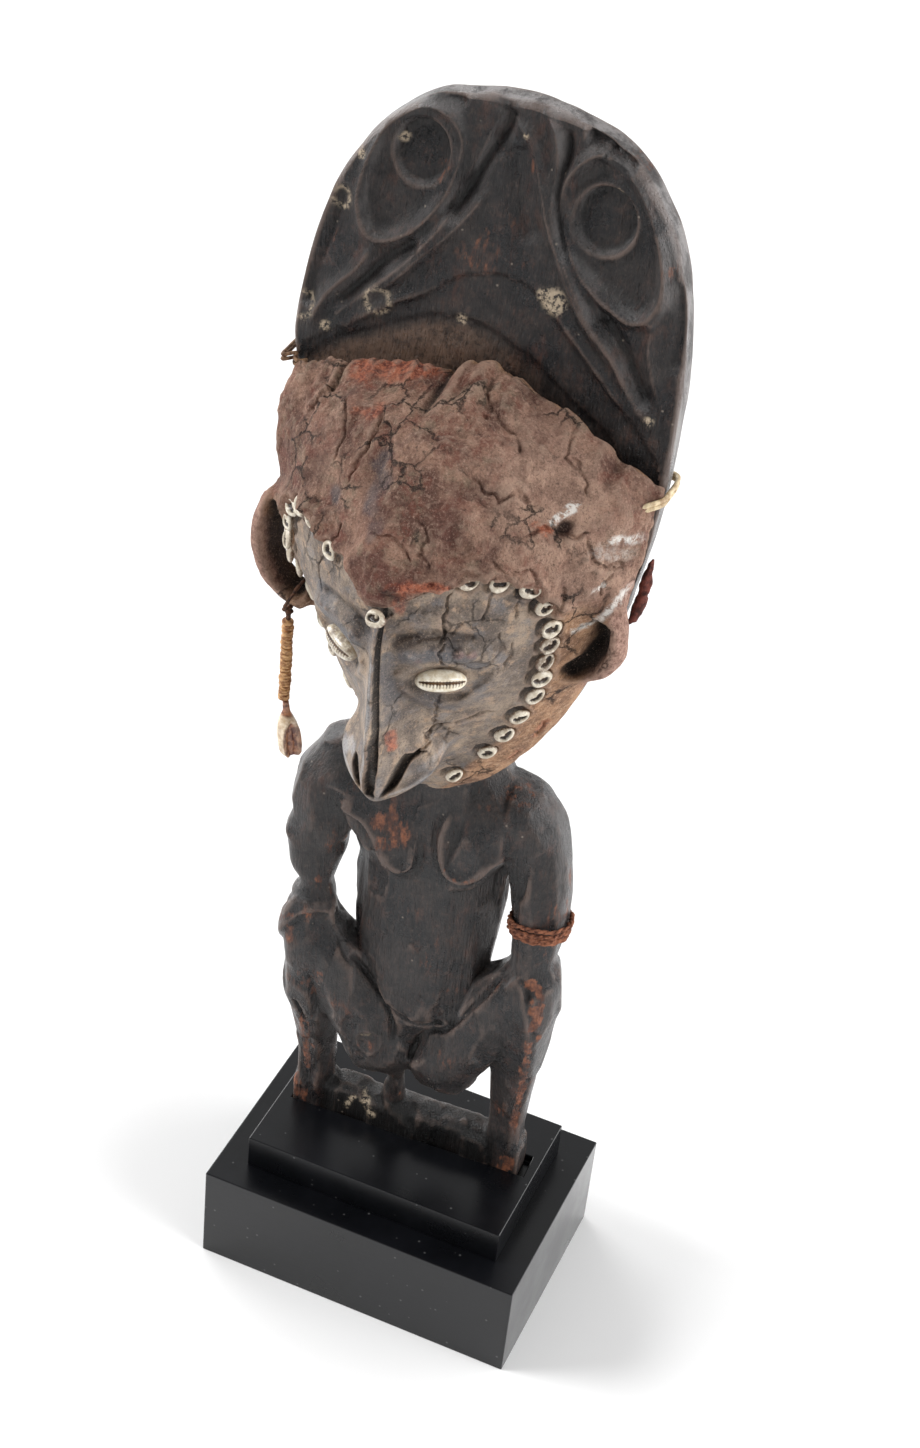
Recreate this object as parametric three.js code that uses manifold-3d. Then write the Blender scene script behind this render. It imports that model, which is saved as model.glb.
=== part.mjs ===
// A squatting carved figure with a tall carved crest board and a head modelled in paste over
// the wood, set with shells, on a plinth of two steps.
// Millimetres, +Z up. The front faces -Y and X runs to the viewer's right.
// The origin lies under the middle of the plinth.

import * as THREE from 'three';
import { mergeVertices } from 'three/addons/utils/BufferGeometryUtils.js';
import Module from 'manifold-3d';

const wasm = await Module();
wasm.setup();

// Driving sizes
const figureHeight = 495; // from the top of the step to the top of the crest board
const fitGap = 0.3;         // clearance between a piece and the seat cut for it
const plinthHeight = 50.6;
const plinthLedgeSide = 13.9;
const plinthLedgeFront = 13.8;
const stepHeight = 17;
const stepMarginSide = 6.8;
const stepMarginFront = 31;
const barDepth = 12.5;      // the foot bar that the figure squats on, front to back
const barRise = 16.4;       // its height above the step
const barSink = 4;          // how far it is let into the step
const barEnd = 8.5;         // from the middle of a foot to the end of the bar
const slotSpare = 3.5;      // open length of the slot past the bar's right end
const boardThickness = 14;
const shellRadius = 3.9;
const shellHeight = 2.3;
const shellSink = 1.3;
const cowrieLength = 18.8;
const cowrieWidth = 11.5;
const cowrieDepth = 7.6;
const discRadius = 2.6;
const discPitch = 2.7;
const discCount = 14;
const threadRadius = 0.9;
const pendantLength = 26;
const pendantWidth = 10.5;
const bandThickness = 2.4;
const bandHeight = 9;
const caneThickness = 1.5;
const caneWidth = 4;

// The free form is measured in parts, of which the figure is 495 high. Heights are counted
// from the top of the step.
const partsHigh = 495;
const part = figureHeight / partsHigh;
const ground = plinthHeight + stepHeight;
const bodyTurn = THREE.MathUtils.degToRad(6.4); // the body is carved turned under the head
const footTurn = THREE.MathUtils.degToRad(2.6); // and the feet turn less
const footShift = [-1.3 * part, 3.7 * part];
const stance = 45.8 * part;                       // from the midline to the middle of a foot
const barLength = 2 * (stance + barEnd);

const vector = (x, y, z) => new THREE.Vector3(x, y, z);
const at = (x, y, h) => vector(x * part, y * part, ground + h * part);
const both = (make) => [-1, 1].map(make);

const finishes = {
  patinaWood: { color: 0x2b2320, roughness: 0.55, metalness: 0 },
  paste: { color: 0x6b5448, roughness: 0.9, metalness: 0 },
  cowrie: { color: 0xe2d8c2, roughness: 0.35, metalness: 0 },
  seaShell: { color: 0xd6cfc0, roughness: 0.4, metalness: 0 },
  fibre: { color: 0x7a432c, roughness: 0.9, metalness: 0 },
  cane: { color: 0xcdb898, roughness: 0.6, metalness: 0 },
  redBark: { color: 0x5a2a24, roughness: 0.9, metalness: 0 },
  discShell: { color: 0xb98a5c, roughness: 0.6, metalness: 0 },
  blackPaint: { color: 0x17181a, roughness: 0.45, metalness: 0 },
};

// Solids from rings of points

function skin(rings, loop = false) {
  const sides = rings[0].length;
  const points = rings.flat();
  const faces = [];
  const last = loop ? rings.length : rings.length - 1;
  for (let r = 0; r < last; r += 1) {
    const low = r * sides;
    const high = ((r + 1) % rings.length) * sides;
    for (let k = 0; k < sides; k += 1) {
      const next = (k + 1) % sides;
      faces.push(low + k, low + next, high + next, low + k, high + next, high + k);
    }
  }
  if (!loop) {
    [0, rings.length - 1].forEach((r) => {
      const centre = points.length;
      const middle = vector(0, 0, 0);
      rings[r].forEach((point) => middle.addScaledVector(point, 1 / sides));
      points.push(middle);
      for (let k = 0; k < sides; k += 1) {
        const pair = [r * sides + k, r * sides + ((k + 1) % sides)];
        faces.push(centre, ...(r === 0 ? pair.reverse() : pair));
      }
    });
  }
  let volume = 0;
  for (let f = 0; f < faces.length; f += 3) {
    const [a, b, c] = faces.slice(f, f + 3).map((index) => points[index]);
    volume += a.dot(vector(0, 0, 0).crossVectors(b, c));
  }
  if (volume < 0) faces.reverse();
  const geometry = new THREE.BufferGeometry().setFromPoints(points);
  geometry.setIndex(faces);
  return geometry;
}

function solid(geometry) {
  geometry.deleteAttribute('normal');
  geometry.deleteAttribute('uv');
  const merged = mergeVertices(geometry, 1e-4);
  return new wasm.Manifold(new wasm.Mesh({
    numProp: 3,
    vertProperties: new Float32Array(merged.attributes.position.array),
    triVerts: new Uint32Array(merged.index.array),
  }));
}

const joined = (solids) => solids.reduce((sum, next) => sum.add(next));

function power(value, exponent) {
  return Math.sign(value) * Math.abs(value) ** exponent;
}

// Points round a rounded rectangle; squareness 2 is an ellipse and more is squarer.
function ovalRing(centre, wide, deep, halfWide, halfDeep, sides, squareness) {
  return Array.from({ length: sides }, (_, k) => {
    const angle = (2 * Math.PI * (k + 0.5)) / sides;
    return centre.clone()
      .addScaledVector(wide, halfWide * power(Math.cos(angle), 2 / squareness))
      .addScaledVector(deep, halfDeep * power(Math.sin(angle), 2 / squareness));
  });
}

// A limb is a row of stations: x, y, height, half width and half depth, all in parts.
function limbRings(stations, sides, squareness = 2.4, growth = () => 0) {
  const path = stations.map(([x, y, h]) => at(x, y, h));
  return stations.map(([, , , halfWide, halfDeep], i) => {
    const from = path[Math.max(i - 1, 0)];
    const to = path[Math.min(i + 1, path.length - 1)];
    const along = to.clone().sub(from).normalize();
    const deep = vector(0, -1, 0).addScaledVector(along, along.y).normalize();
    const wide = vector(0, 0, 0).crossVectors(deep, along);
    const grow = growth(i);
    return ovalRing(path[i], wide, deep, halfWide * part + grow, halfDeep * part + grow, sides, squareness);
  });
}

// Rises smoothly from 0 to 1 as the value goes from one end of a range to the other.
function smooth(from, to, value) {
  const t = THREE.MathUtils.clamp((value - from) / (to - from), 0, 1);
  return t * t * (3 - 2 * t);
}

// A smooth curve through pairs of height and value, with the heights falling.
function profile(pairs, height) {
  const last = pairs.length - 1;
  if (height >= pairs[0][0]) return pairs[0][1];
  if (height <= pairs[last][0]) return pairs[last][1];
  const i = pairs.findIndex(([h]) => h < height) - 1;
  const [[h0, v0], [h1, v1]] = [pairs[i], pairs[i + 1]];
  const slope = (a, b) => (b[1] - a[1]) / (b[0] - a[0]);
  const into = i > 0 ? slope(pairs[i - 1], pairs[i + 1]) : slope(pairs[i], pairs[i + 1]);
  const out = i + 2 <= last ? slope(pairs[i], pairs[i + 2]) : slope(pairs[i], pairs[i + 1]);
  const span = h1 - h0;
  const t = (height - h0) / span;
  return v0 * (1 + 2 * t) * (1 - t) ** 2 + into * span * t * (1 - t) ** 2
    + v1 * t * t * (3 - 2 * t) + out * span * t * t * (t - 1);
}

// The body turns on its feet, and the turn dies out up the neck.
function turned(geometry) {
  const points = geometry.attributes.position;
  for (let i = 0; i < points.count; i += 1) {
    const point = vector(0, 0, 0).fromBufferAttribute(points, i);
    const height = (point.z - ground) / part;
    const low = smooth(90, 20, height);
    const angle = (bodyTurn + (footTurn - bodyTurn) * low) * smooth(240, 190, height);
    point.applyAxisAngle(vector(0, 0, 1), angle);
    points.setXYZ(i, point.x + footShift[0] * low, point.y + footShift[1] * low, point.z);
  }
  return geometry;
}

const limb = (stations, sides, squareness) => solid(turned(skin(limbRings(stations, sides, squareness))));

// Crest board: a slab with a round top that tapers to the jaw behind the head

const crest = { middle: 381.4, rise: 113.6, fall: 165, half: 74.8, roundTop: 2.55, roundJaw: 1.8 };
const boardBend = 352;  // below this the board stands upright
const boardBase = -16.2;
const boardLean = 0.175;

function boardFront(h) {
  return boardBase + boardLean * Math.max(h - boardBend, 0);
}

function halfWidth(h) {
  const above = h > crest.middle;
  const share = Math.min(Math.abs(h - crest.middle) / (above ? crest.rise : crest.fall), 1);
  const round = above ? crest.roundTop : crest.roundJaw;
  return crest.half * (1 - share ** round) ** (1 / round);
}

// The left edge is slimmer where the paste is worn: a lot at the jaw and a little at the temple.
const jawLoss = 9.5;
const templeLoss = 3.6;

function edgeWear(h, side) {
  const jaw = jawLoss * smooth(338, 290, h) * smooth(222, 245, h);
  const temple = templeLoss * smooth(396, 376, h) * smooth(322, 348, h);
  return side < 0 ? jaw + temple : 0;
}

function boardRing(h) {
  const chamfer = 1.6;
  const half = Math.max(halfWidth(h), 1);
  const front = boardFront(h);
  const back = front + boardThickness / part;
  const frontInset = Math.min(chamfer, half / 2);
  const backInset = Math.min(4.8 + 5.5 * smooth(400, 470, h), half / 2);
  const right = [[half - frontInset, front], [half, front + chamfer], [half, back - 2 * chamfer],
    [half - backInset, back]];
  const left = right.map(([x, y]) => [Math.min(edgeWear(h, -1) - x, -1), y]).reverse();
  return [...right, ...left].map(([x, y]) => at(x, y, h));
}

function crestBoard() {
  const top = crest.middle + crest.rise;
  const courses = 6;
  const boardFoot = 235;
  const courseHeight = 20;
  const heights = Array.from({ length: courses }, (_, i) => boardFoot + i * courseHeight);
  heights.push(boardBend, (boardBend + crest.middle) / 2, crest.middle);
  const arcSteps = 13;
  for (let i = 1; i <= arcSteps; i += 1) {
    const share = Math.sin((Math.PI / 2) * (i / (arcSteps + 0.35)));
    heights.push(crest.middle + crest.rise * share ** (2 / crest.roundTop));
  }
  heights.push(top - 0.1);
  return solid(skin(heights.map((h) => boardRing(h))));
}

// Carving on the board's face: low ridges, each a curve of points given as x and height

const ridgeWidth = 2.6;
const ridgeRise = 1.5;
const ridgeRoot = 1;

function ridge(points, loop = false, steps = 14) {
  const curve = new THREE.CatmullRomCurve3(points.map(([x, h]) => vector(x, h, 0)), loop);
  const count = loop ? steps : steps + 1;
  const rings = Array.from({ length: count }, (_, i) => {
    const t = i / steps;
    const here = curve.getPointAt(t);
    const run = curve.getTangentAt(t);
    const taper = loop ? 1 : 0.35 + 0.65 * Math.sin(Math.PI * Math.min(Math.max(t, 0.03), 0.97)) ** 0.5;
    const rise = ridgeRise * taper;
    const section = [[-0.5, ridgeRoot], [-0.18, -rise], [0.18, -rise], [0.5, ridgeRoot]];
    return section.map(([side, out]) => {
      const x = here.x - run.y * side * ridgeWidth;
      const h = here.y + run.x * side * ridgeWidth;
      return at(x, boardFront(h) + out, h);
    });
  });
  return solid(skin(rings, loop));
}

const mirrored = (points, side) => points.map(([x, h]) => [side * x, h]);

const beakOuter = [[10, 489], [14, 477], [17, 463], [24, 444], [35, 428], [48, 414], [60, 402]];
const beakInner = [[3, 484], [9, 469], [16, 452], [25, 437], [37, 422], [42, 416]];
const tearRim = [
  [31, 485], [20, 476], [19, 463], [25, 447], [36, 437], [49, 432], [58, 439], [59, 453], [53, 468], [43, 481],
];
const cheekRidge = [[50, 431], [57, 421], [63, 411], [68, 400]];
const archRidge = [[-58, 398], [-36, 415], [-14, 431], [0, 434], [14, 431], [36, 415], [57, 398]];
const eyeCircles = [[-35.5, 468], [35, 461.5]];
const eyeCircleHalfWide = 10.2;
const eyeCircleHalfHigh = 12;

function eyeCircle([x, h]) {
  const corners = 8;
  const points = Array.from({ length: corners }, (_, k) => {
    const angle = (2 * Math.PI * k) / corners;
    return [x + eyeCircleHalfWide * Math.cos(angle), h + eyeCircleHalfHigh * Math.sin(angle)];
  });
  return ridge(points, true, 12);
}

function crestCarving() {
  const ridges = both((side) => [
    ridge(mirrored(beakOuter, side), false, 8),
    ridge(mirrored(beakInner, side), false, 6),
    ridge(mirrored(tearRim, side), true, 15),
    ridge(mirrored(cheekRidge, side), false, 4),
  ]).flat();
  return joined([...ridges, ridge(archRidge, false, 9), ...eyeCircles.map(eyeCircle)]);
}

// Body, carved in one with the board

const torsoStations = [
  [-1, -2, 70, 12, 11], [-1, -1, 80, 18.5, 17], [-0.5, 0, 92, 24, 19.5], [-0.5, 0, 110, 28.5, 21],
  [-0.5, 0, 132, 31, 21], [0, 0, 160, 32, 20], [0, 0, 185, 33, 19], [0, 0, 203, 35, 17.5],
  [0, 0, 215, 31, 15], [0, 0, 224, 24, 13.5], [0, -3, 240, 20, 10], [0, -7, 262, 15, 6],
];
const armStations = [
  [26, 0, 210, 9, 11], [33.5, -1, 205.5, 12, 13.5], [39.8, -2, 195, 13.2, 14], [43.8, -4, 180, 12.8, 13.5],
  [47, -6, 164, 12, 12.8], [48.2, -8, 151, 11, 12], [48, -10, 140, 9.6, 10.6],
  [47.6, -12, 130, 8.4, 9.4], [47.2, -13, 120, 8, 9],
];
const shinStations = [
  [45.8, 0, 12, 8, 6.6], [45.7, -0.5, 32, 8.3, 7.4], [46.2, -3.5, 56, 9.4, 9.4], [47.6, -7, 82, 11.4, 12],
  [48.4, -9.5, 104, 12.2, 13.4], [48.6, -10, 106, 13.2, 15], [48.8, -10.5, 121, 12.8, 14.6],
  [48.5, -10.5, 130, 11.2, 12], [48, -10.5, 135, 6.5, 7],
];
const thighStations = [
  [3, 0, 50, 14, 12.5], [13.5, -3, 54, 18.5, 16.5], [22, -5, 72, 16.5, 16], [30, -8, 91, 14.8, 14.6],
  [38, -10, 109, 13.8, 13.8], [46, -11, 122, 10.5, 12],
];
const strutStations = [
  [-3, -13, 80, 5.5, 5], [-4, -12, 66, 4.2, 4.6], [-5.5, -8, 44, 4, 4.4], [-7, -3, 24, 5, 5],
  [-7.5, -1, 14, 5.6, 5.4],
];
const chestStations = [
  [31, -7, 207, 10, 8], [26, -10, 197, 13, 9], [20, -12.6, 186, 13, 9], [16.5, -14.5, 176, 9.5, 7.4],
  [15, -15.5, 168, 4, 4],
];
const limbSides = 9;
const torsoSides = 12;

function mirrorStations(stations, side) {
  return stations.map(([x, ...rest]) => [side * x, ...rest]);
}

function footBar() {
  const bevelFront = 4;
  const bevelBack = 1.5;
  const half = barDepth / 2;
  const section = new THREE.Shape();
  section.moveTo(-half, -barSink);
  section.lineTo(half, -barSink);
  section.lineTo(half, barRise - bevelBack);
  section.lineTo(half - bevelBack, barRise);
  section.lineTo(bevelFront - half, barRise);
  section.lineTo(-half, barRise - bevelFront);
  section.closePath();
  const bar = new THREE.ExtrudeGeometry(section, { depth: barLength, bevelEnabled: false });
  bar.translate(0, 0, -barLength / 2);
  bar.rotateX(Math.PI / 2);
  bar.rotateZ(Math.PI / 2);
  bar.translate(0, 0, ground);
  return solid(turned(bar));
}

function foot(side) {
  const ball = new THREE.SphereGeometry(1, 10, 6);
  ball.scale(barEnd + 1.2, barDepth / 2 + 1, 6.5);
  ball.translate(side * stance, -0.4, ground + barRise - 3.5);
  return solid(turned(ball));
}

function carvedFigure() {
  const limbs = both((side) => [
    limb(mirrorStations(armStations, side), limbSides),
    limb(mirrorStations(shinStations, side), limbSides),
    limb(mirrorStations(thighStations, side), limbSides),
    limb(mirrorStations(chestStations, side), 8, 3),
    foot(side),
  ]).flat();
  const body = joined([
    limb(torsoStations, torsoSides, 2.3),
    limb(strutStations, 8, 2),
    footBar(),
    ...limbs,
  ]);
  return joined([body, crestBoard(), crestCarving()]);
}

// Head modelled in paste on the front of the board

const browHeight = 338;
const pasteRim = 4;         // thickness of the torn upper edge
const chinHeight = 219;
const midlineDepth = [[browHeight, 68], [312, 66], [277, 50], [257, 36], [239, 26], [225, 18], [chinHeight, 9]];

const upperMiddle = crest.middle + 22.6;  // the torn edge is highest at the middle
const upperFall = 23;                     // and falls this far to the sides

const upperEdge = (x) => upperMiddle - upperFall * (Math.abs(x) / crest.half) ** 1.8;

const pasteOverhang = 1;
const bendSpare = 1.7;        // the paste stands a little clear of the board's bend
const seatGap = (h) => fitGap + bendSpare * smooth(326, 346, h) * smooth(378, 358, h);
const headHalf = (h, side) => Math.max(halfWidth(h), 7) + pasteOverhang - edgeWear(h, side);

// How far the paste stands in front of the board at x and height h.
function pasteDepth(x, h) {
  const share = Math.min(Math.abs(x) / headHalf(h, Math.sign(x)), 1);
  const ridgeRound = 0.09 + 0.2 * smooth(340, 385, h);
  const slant = (Math.hypot(share, ridgeRound) - ridgeRound) / (Math.hypot(1, ridgeRound) - ridgeRound);
  const across = (1 - 0.68 * slant) * (1 - share ** 6) ** 0.5;
  const depth = profile(midlineDepth, h) * across;
  if (h <= browHeight) return depth;
  const up = Math.min((h - browHeight) / (upperEdge(x) - browHeight), 1);
  const dome = (1 - up ** 2.1) ** 0.6;
  const edge = Math.min(pasteRim, depth);
  return edge + (depth - edge) * dome;
}

const pasteFront = (x, h) => boardFront(h) - pasteDepth(x, h);

function pasteBody() {
  const columns = 20;
  const rows = 22;
  const rings = Array.from({ length: rows + 1 }, (_, j) => {
    const level = j / rows;
    const front = Array.from({ length: columns + 1 }, (_unused, i) => {
      const side = -Math.cos((Math.PI * i) / columns);
      const top = upperEdge(side * crest.half);
      const h = chinHeight + (top - chinHeight) * level;
      const x = side * headHalf(h, side);
      return at(x, pasteFront(x, h) - (i % columns === 0 ? 2.2 : 0), h);
    });
    const seat = [front[columns], front[columns / 2], front[0]].map((point) => {
      const h = (point.z - ground) / part;
      return vector(point.x, boardFront(h) * part - seatGap(h), point.z);
    });
    return [...front, ...seat];
  });
  return solid(skin(rings));
}

// Nose: a long ridge that flares into two wings and ends in a low point.
// Each row: height at the midline, half width, ridge y, flank y, lift of the flank.
const noseRows = [
  [339, 3.5, -86, -80, 0], [326, 5.5, -90, -77, 0], [306, 8, -90.5, -72, 0], [288, 10.5, -89.5, -66, 0],
  [274, 14, -87, -61, 2], [264, 18.5, -84, -61, 3.5], [256, 19.3, -80, -61, 6], [250.5, 18, -77, -62, 7],
  [247, 14, -75, -65, 6],
];
const noseColumns = [-1, -0.85, -0.6, -0.35, -0.14, 0, 0.14, 0.35, 0.6, 0.85, 1];
const noseRoot = -30;
const noseSlew = 0.1;         // the wings are wider and lower on the left
const channelDepth = 1.6;
const nostrilDepth = 6;
const channelFlare = 4.5;
const flareTop = [278, 264];    // heights between which the channel and nostrils open
const flareEnd = [246, 253];    // and close again

function noseRing([h, half, ridgeY, flankY, lift]) {
  const flare = smooth(...flareTop, h) * smooth(...flareEnd, h);
  const front = noseColumns.map((share) => {
    const across = Math.abs(share);
    const groove = share === 0 ? channelDepth + channelFlare * flare : 0;
    const hollow = nostrilDepth * flare * Math.exp(-(((across - 0.58) / 0.2) ** 2));
    const y = ridgeY + (flankY - ridgeY) * across ** 0.9 + groove + hollow;
    const x = share * half * (1 - noseSlew * share);
    return at(x, y, h + lift * (1 + 4 * noseSlew * share) * across ** 1.2);
  });
  return [...front, at(half, noseRoot, h + lift), at(-half, noseRoot, h + lift)];
}

const nose = () => solid(skin(noseRows.map(noseRing)));

// Ears: thick C-shaped rolls at the sides of the head. Each point is how far it lies outside
// the board's half width, its y and its height.
const earTop = [[-11, -31, 338], [-3.4, -32, 335], [1.7, -32, 326], [4.9, -31.5, 314]];
const earLobes = {
  left: [[5.3, -30, 303], [-0.1, -29, 296], [-8.8, -30, 292]],
  right: [[2.9, -31, 308], [-3.2, -31, 303], [-12.3, -31, 300]],
};
const earHalfWide = 5.2;
const earHalfDeep = 7.5;

function earPath(name) {
  const side = name === 'left' ? -1 : 1;
  return [...earTop, ...earLobes[name]].map(([out, y, h]) => [side * (halfWidth(h) + out), y, h]);
}

function ear(name) {
  const stations = earPath(name).map((point) => [...point, earHalfWide, earHalfDeep]);
  return solid(skin(limbRings(stations, 9, 2)));
}

// Where a thing sits on the paste: its place and the way the surface faces
function seatOnPaste(x, h) {
  const step = 1.5;
  const point = (px, ph) => at(px, pasteFront(px, ph), ph);
  const across = point(x + step, h).sub(point(x - step, h));
  const up = point(x, h + step).sub(point(x, h - step));
  const out = vector(0, 0, 0).crossVectors(across, up).normalize();
  return { place: point(x, h), out };
}

function seated(geometry, { place, out }, spin = 0) {
  const level = vector(0, 0, 1).cross(out).normalize();
  const rise = vector(0, 0, 0).crossVectors(out, level);
  const frame = new THREE.Matrix4().makeBasis(level, rise, out);
  geometry.rotateZ(spin);
  geometry.applyMatrix4(frame);
  geometry.translate(place.x, place.y, place.z);
  return solid(geometry);
}

// Shell rows: points of the row as a share of the head's half width and a height, and the gaps
// between the shells along it
const rightRow = {
  name: 'right',
  side: 1,
  points: [
    [0.351, 353], [0.473, 352], [0.606, 348.5], [0.678, 340], [0.734, 328], [0.751, 312],
    [0.757, 294], [0.721, 281], [0.632, chinHeight + 38], [0.467, chinHeight + 20],
  ],
  gaps: [9, 9.5, 9.5, 10.5, 8, 8.5, 8.5, 10, 13, 12.5, 14.5, 21.5],
};
const leftRow = {
  name: 'left',
  side: -1,
  points: [
    [0.387, 347], [0.527, 351], [0.627, 351], [0.716, 348], [0.777, 339], [0.801, 328],
    [0.906, 312], [0.921, 294], [0.937, 280], [0.935, chinHeight + 38], [0.786, chinHeight + 21],
  ],
  gaps: [11, 7.5, 7, 8, 8, 8, 9, 10, 12, 13, 14, 21],
};
const shellSides = 6;

function shellPlaces({ side, points, gaps }) {
  const route = points.map(([share, h]) => vector(side * share * headHalf(h, side), h, 0));
  const curve = new THREE.CatmullRomCurve3(route);
  const reach = gaps.reduce((sum, gap) => sum + gap, 0);
  let run = 0;
  return [0, ...gaps].map((gap) => {
    run += gap;
    const here = curve.getPointAt(Math.min(run / reach, 1));
    return seatOnPaste(here.x, here.y);
  });
}

function shellGeometry() {
  const outline = [[0, 0.45], [0.5, 1], [1, -shellSink / shellHeight], [0, -shellSink / shellHeight]];
  const dome = outline.map(([r, z]) => new THREE.Vector2(r * shellRadius, z * shellHeight));
  const shell = new THREE.LatheGeometry(dome.reverse(), shellSides);
  shell.rotateX(Math.PI / 2);
  return shell;
}

function pocketGeometry() {
  const depth = shellSink + fitGap;
  const rise = 4;
  const radius = shellRadius + fitGap;
  const pocket = new THREE.CylinderGeometry(radius, radius, depth + rise, shellSides);
  pocket.rotateX(Math.PI / 2);
  pocket.rotateZ(Math.PI / 2);
  pocket.translate(0, 0, (rise - depth) / 2);
  return pocket;
}

const noseRootRow = noseRows[0];
const bridgeShell = {
  name: 'bridge',
  places: [{ place: at(0.5, noseRootRow[2] - 2.6, noseRootRow[0] + 0.5), out: vector(0, -0.9, 0.44) }],
};
const shellGroups = [
  ...[leftRow, rightRow].map((row) => ({ name: row.name, places: shellPlaces(row) })),
  bridgeShell,
];

// Cowrie eyes: long ovals set level in the paste
const eyePlaces = { left: [-20.5, 310.5], right: [20, 309.3] };

function cowrie(name, grow = 0) {
  const seat = seatOnPaste(...eyePlaces[name]);
  const ball = new THREE.SphereGeometry(1, 12, 6);
  ball.scale(cowrieLength / 2 + grow, cowrieWidth / 2 + grow, cowrieDepth / 2 + grow);
  return seated(ball, seat);
}

// Earring on the left ear: a thread loop with a knot, a string of discs and a shell pendant.
// The loop goes round the ear's roll part of the way from the lobe to the head.
const [lobePoint, headPoint] = earPath('left').slice(-2).map((point) => at(...point));
const ringCentre = lobePoint.clone().lerp(headPoint, 0.4);
const ringLean = Math.atan2(lobePoint.z - headPoint.z, headPoint.x - lobePoint.x);
const stringTop = ringCentre.clone().add(vector(-3 * part, 0, -12.6 * part));
const pendantSwing = 3.5;     // how far the pendant's end hangs out of line

function threadLoop() {
  const turns = 14;
  const tubeSides = 4;
  const halfWide = (earHalfWide * part) + threadRadius + fitGap;
  const halfDeep = (earHalfDeep * part) + threadRadius + fitGap;
  const upward = vector(Math.sin(ringLean), 0, Math.cos(ringLean));
  const backward = vector(0, 1, 0);
  const rings = Array.from({ length: turns }, (_, i) => {
    const angle = (2 * Math.PI * i) / turns;
    const outward = upward.clone().multiplyScalar(Math.cos(angle)).addScaledVector(backward, Math.sin(angle));
    const centre = ringCentre.clone()
      .addScaledVector(upward, halfWide * 1.16 * Math.cos(angle))
      .addScaledVector(backward, halfDeep * 1.12 * Math.sin(angle));
    const axis = vector(0, 0, 0).crossVectors(upward, backward);
    return Array.from({ length: tubeSides }, (_unused, k) => {
      const around = (2 * Math.PI * k) / tubeSides;
      return centre.clone()
        .addScaledVector(outward, threadRadius * Math.cos(around))
        .addScaledVector(axis, threadRadius * Math.sin(around));
    });
  });
  return solid(skin(rings, true));
}

const stringLength = discCount * discPitch;

function spindle(outline, segments, top) {
  const geometry = new THREE.LatheGeometry(outline.map(([r, z]) => new THREE.Vector2(r, z)), segments);
  geometry.rotateX(Math.PI / 2);
  geometry.translate(top.x, top.y, top.z);
  return solid(geometry);
}

function earringThread() {
  const knot = [[0, -1], [1.2, -1], [1.1, 1.5], [2.3, 3], [1.2, 4.2], [2.1, 5.4], [1, 6.4], [0, 6.8]];
  return threadLoop().add(spindle(knot, 6, stringTop));
}

function earringDiscs() {
  const outline = [[0, -stringLength]];
  for (let i = discCount - 1; i >= 0; i -= 1) {
    const low = -(i + 1) * discPitch;
    outline.push([discRadius * 0.8, low], [discRadius, low + discPitch / 2]);
  }
  outline.push([discRadius * 0.8, 0], [0, 0]);
  const top = stringTop.clone().add(vector(0, 0, -1 - fitGap));
  return spindle(outline, 6, top);
}

function earringPendant() {
  const top = stringTop.clone().add(vector(0, 0, -1 - 2 * fitGap - stringLength));
  const shares = [
    [0, 0.16, 0.16], [0.14, 0.2, 0.2], [0.24, 0.32, 0.3], [0.38, 0.46, 0.4], [0.75, 0.5, 0.42],
    [0.93, 0.4, 0.3], [1, 0.18, 0.14],
  ];
  const rings = shares.map(([down, wide, deep]) => ovalRing(
    top.clone().add(vector(down * pendantSwing, 0, -down * pendantLength)),
    vector(1, 0, 0),
    vector(0, -1, 0),
    wide * pendantWidth,
    deep * pendantWidth,
    8,
    2,
  ));
  return solid(skin(rings));
}

// Fibre armband round the right arm, in three wraps

function armband() {
  const middle = 151;
  const wraps = 3;
  const steps = 2 * wraps;
  const rising = [...armStations].reverse();
  const station = (h) => {
    const i = Math.max(rising.findIndex((row) => row[2] > h), 1);
    const t = (h - rising[i - 1][2]) / (rising[i][2] - rising[i - 1][2]);
    return rising[i - 1].map((value, k) => value + (rising[i][k] - value) * t);
  };
  const half = bandHeight / 2 / part;
  const spare = 1;
  const level = (reach, i) => station(middle + reach * (1 - (2 * i) / steps));
  const levels = (reach) => Array.from({ length: steps + 1 }, (_, i) => level(reach, i));
  const outer = limbRings(levels(half), 10, 2.4, (i) => fitGap + bandThickness * (i % 2 === 1 ? 1 : 0.5));
  const inner = limbRings(levels(half + spare), limbSides, 2.4, () => fitGap);
  return solid(turned(skin(outer))).subtract(solid(turned(skin(inner))));
}

// Cane ties round the board's edge: the left one just above the paste, the right one over it
const ties = {
  left: { side: -1, height: 387.5, reach: 8 },
  right: { side: 1, height: 373, reach: 16 },
};

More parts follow.
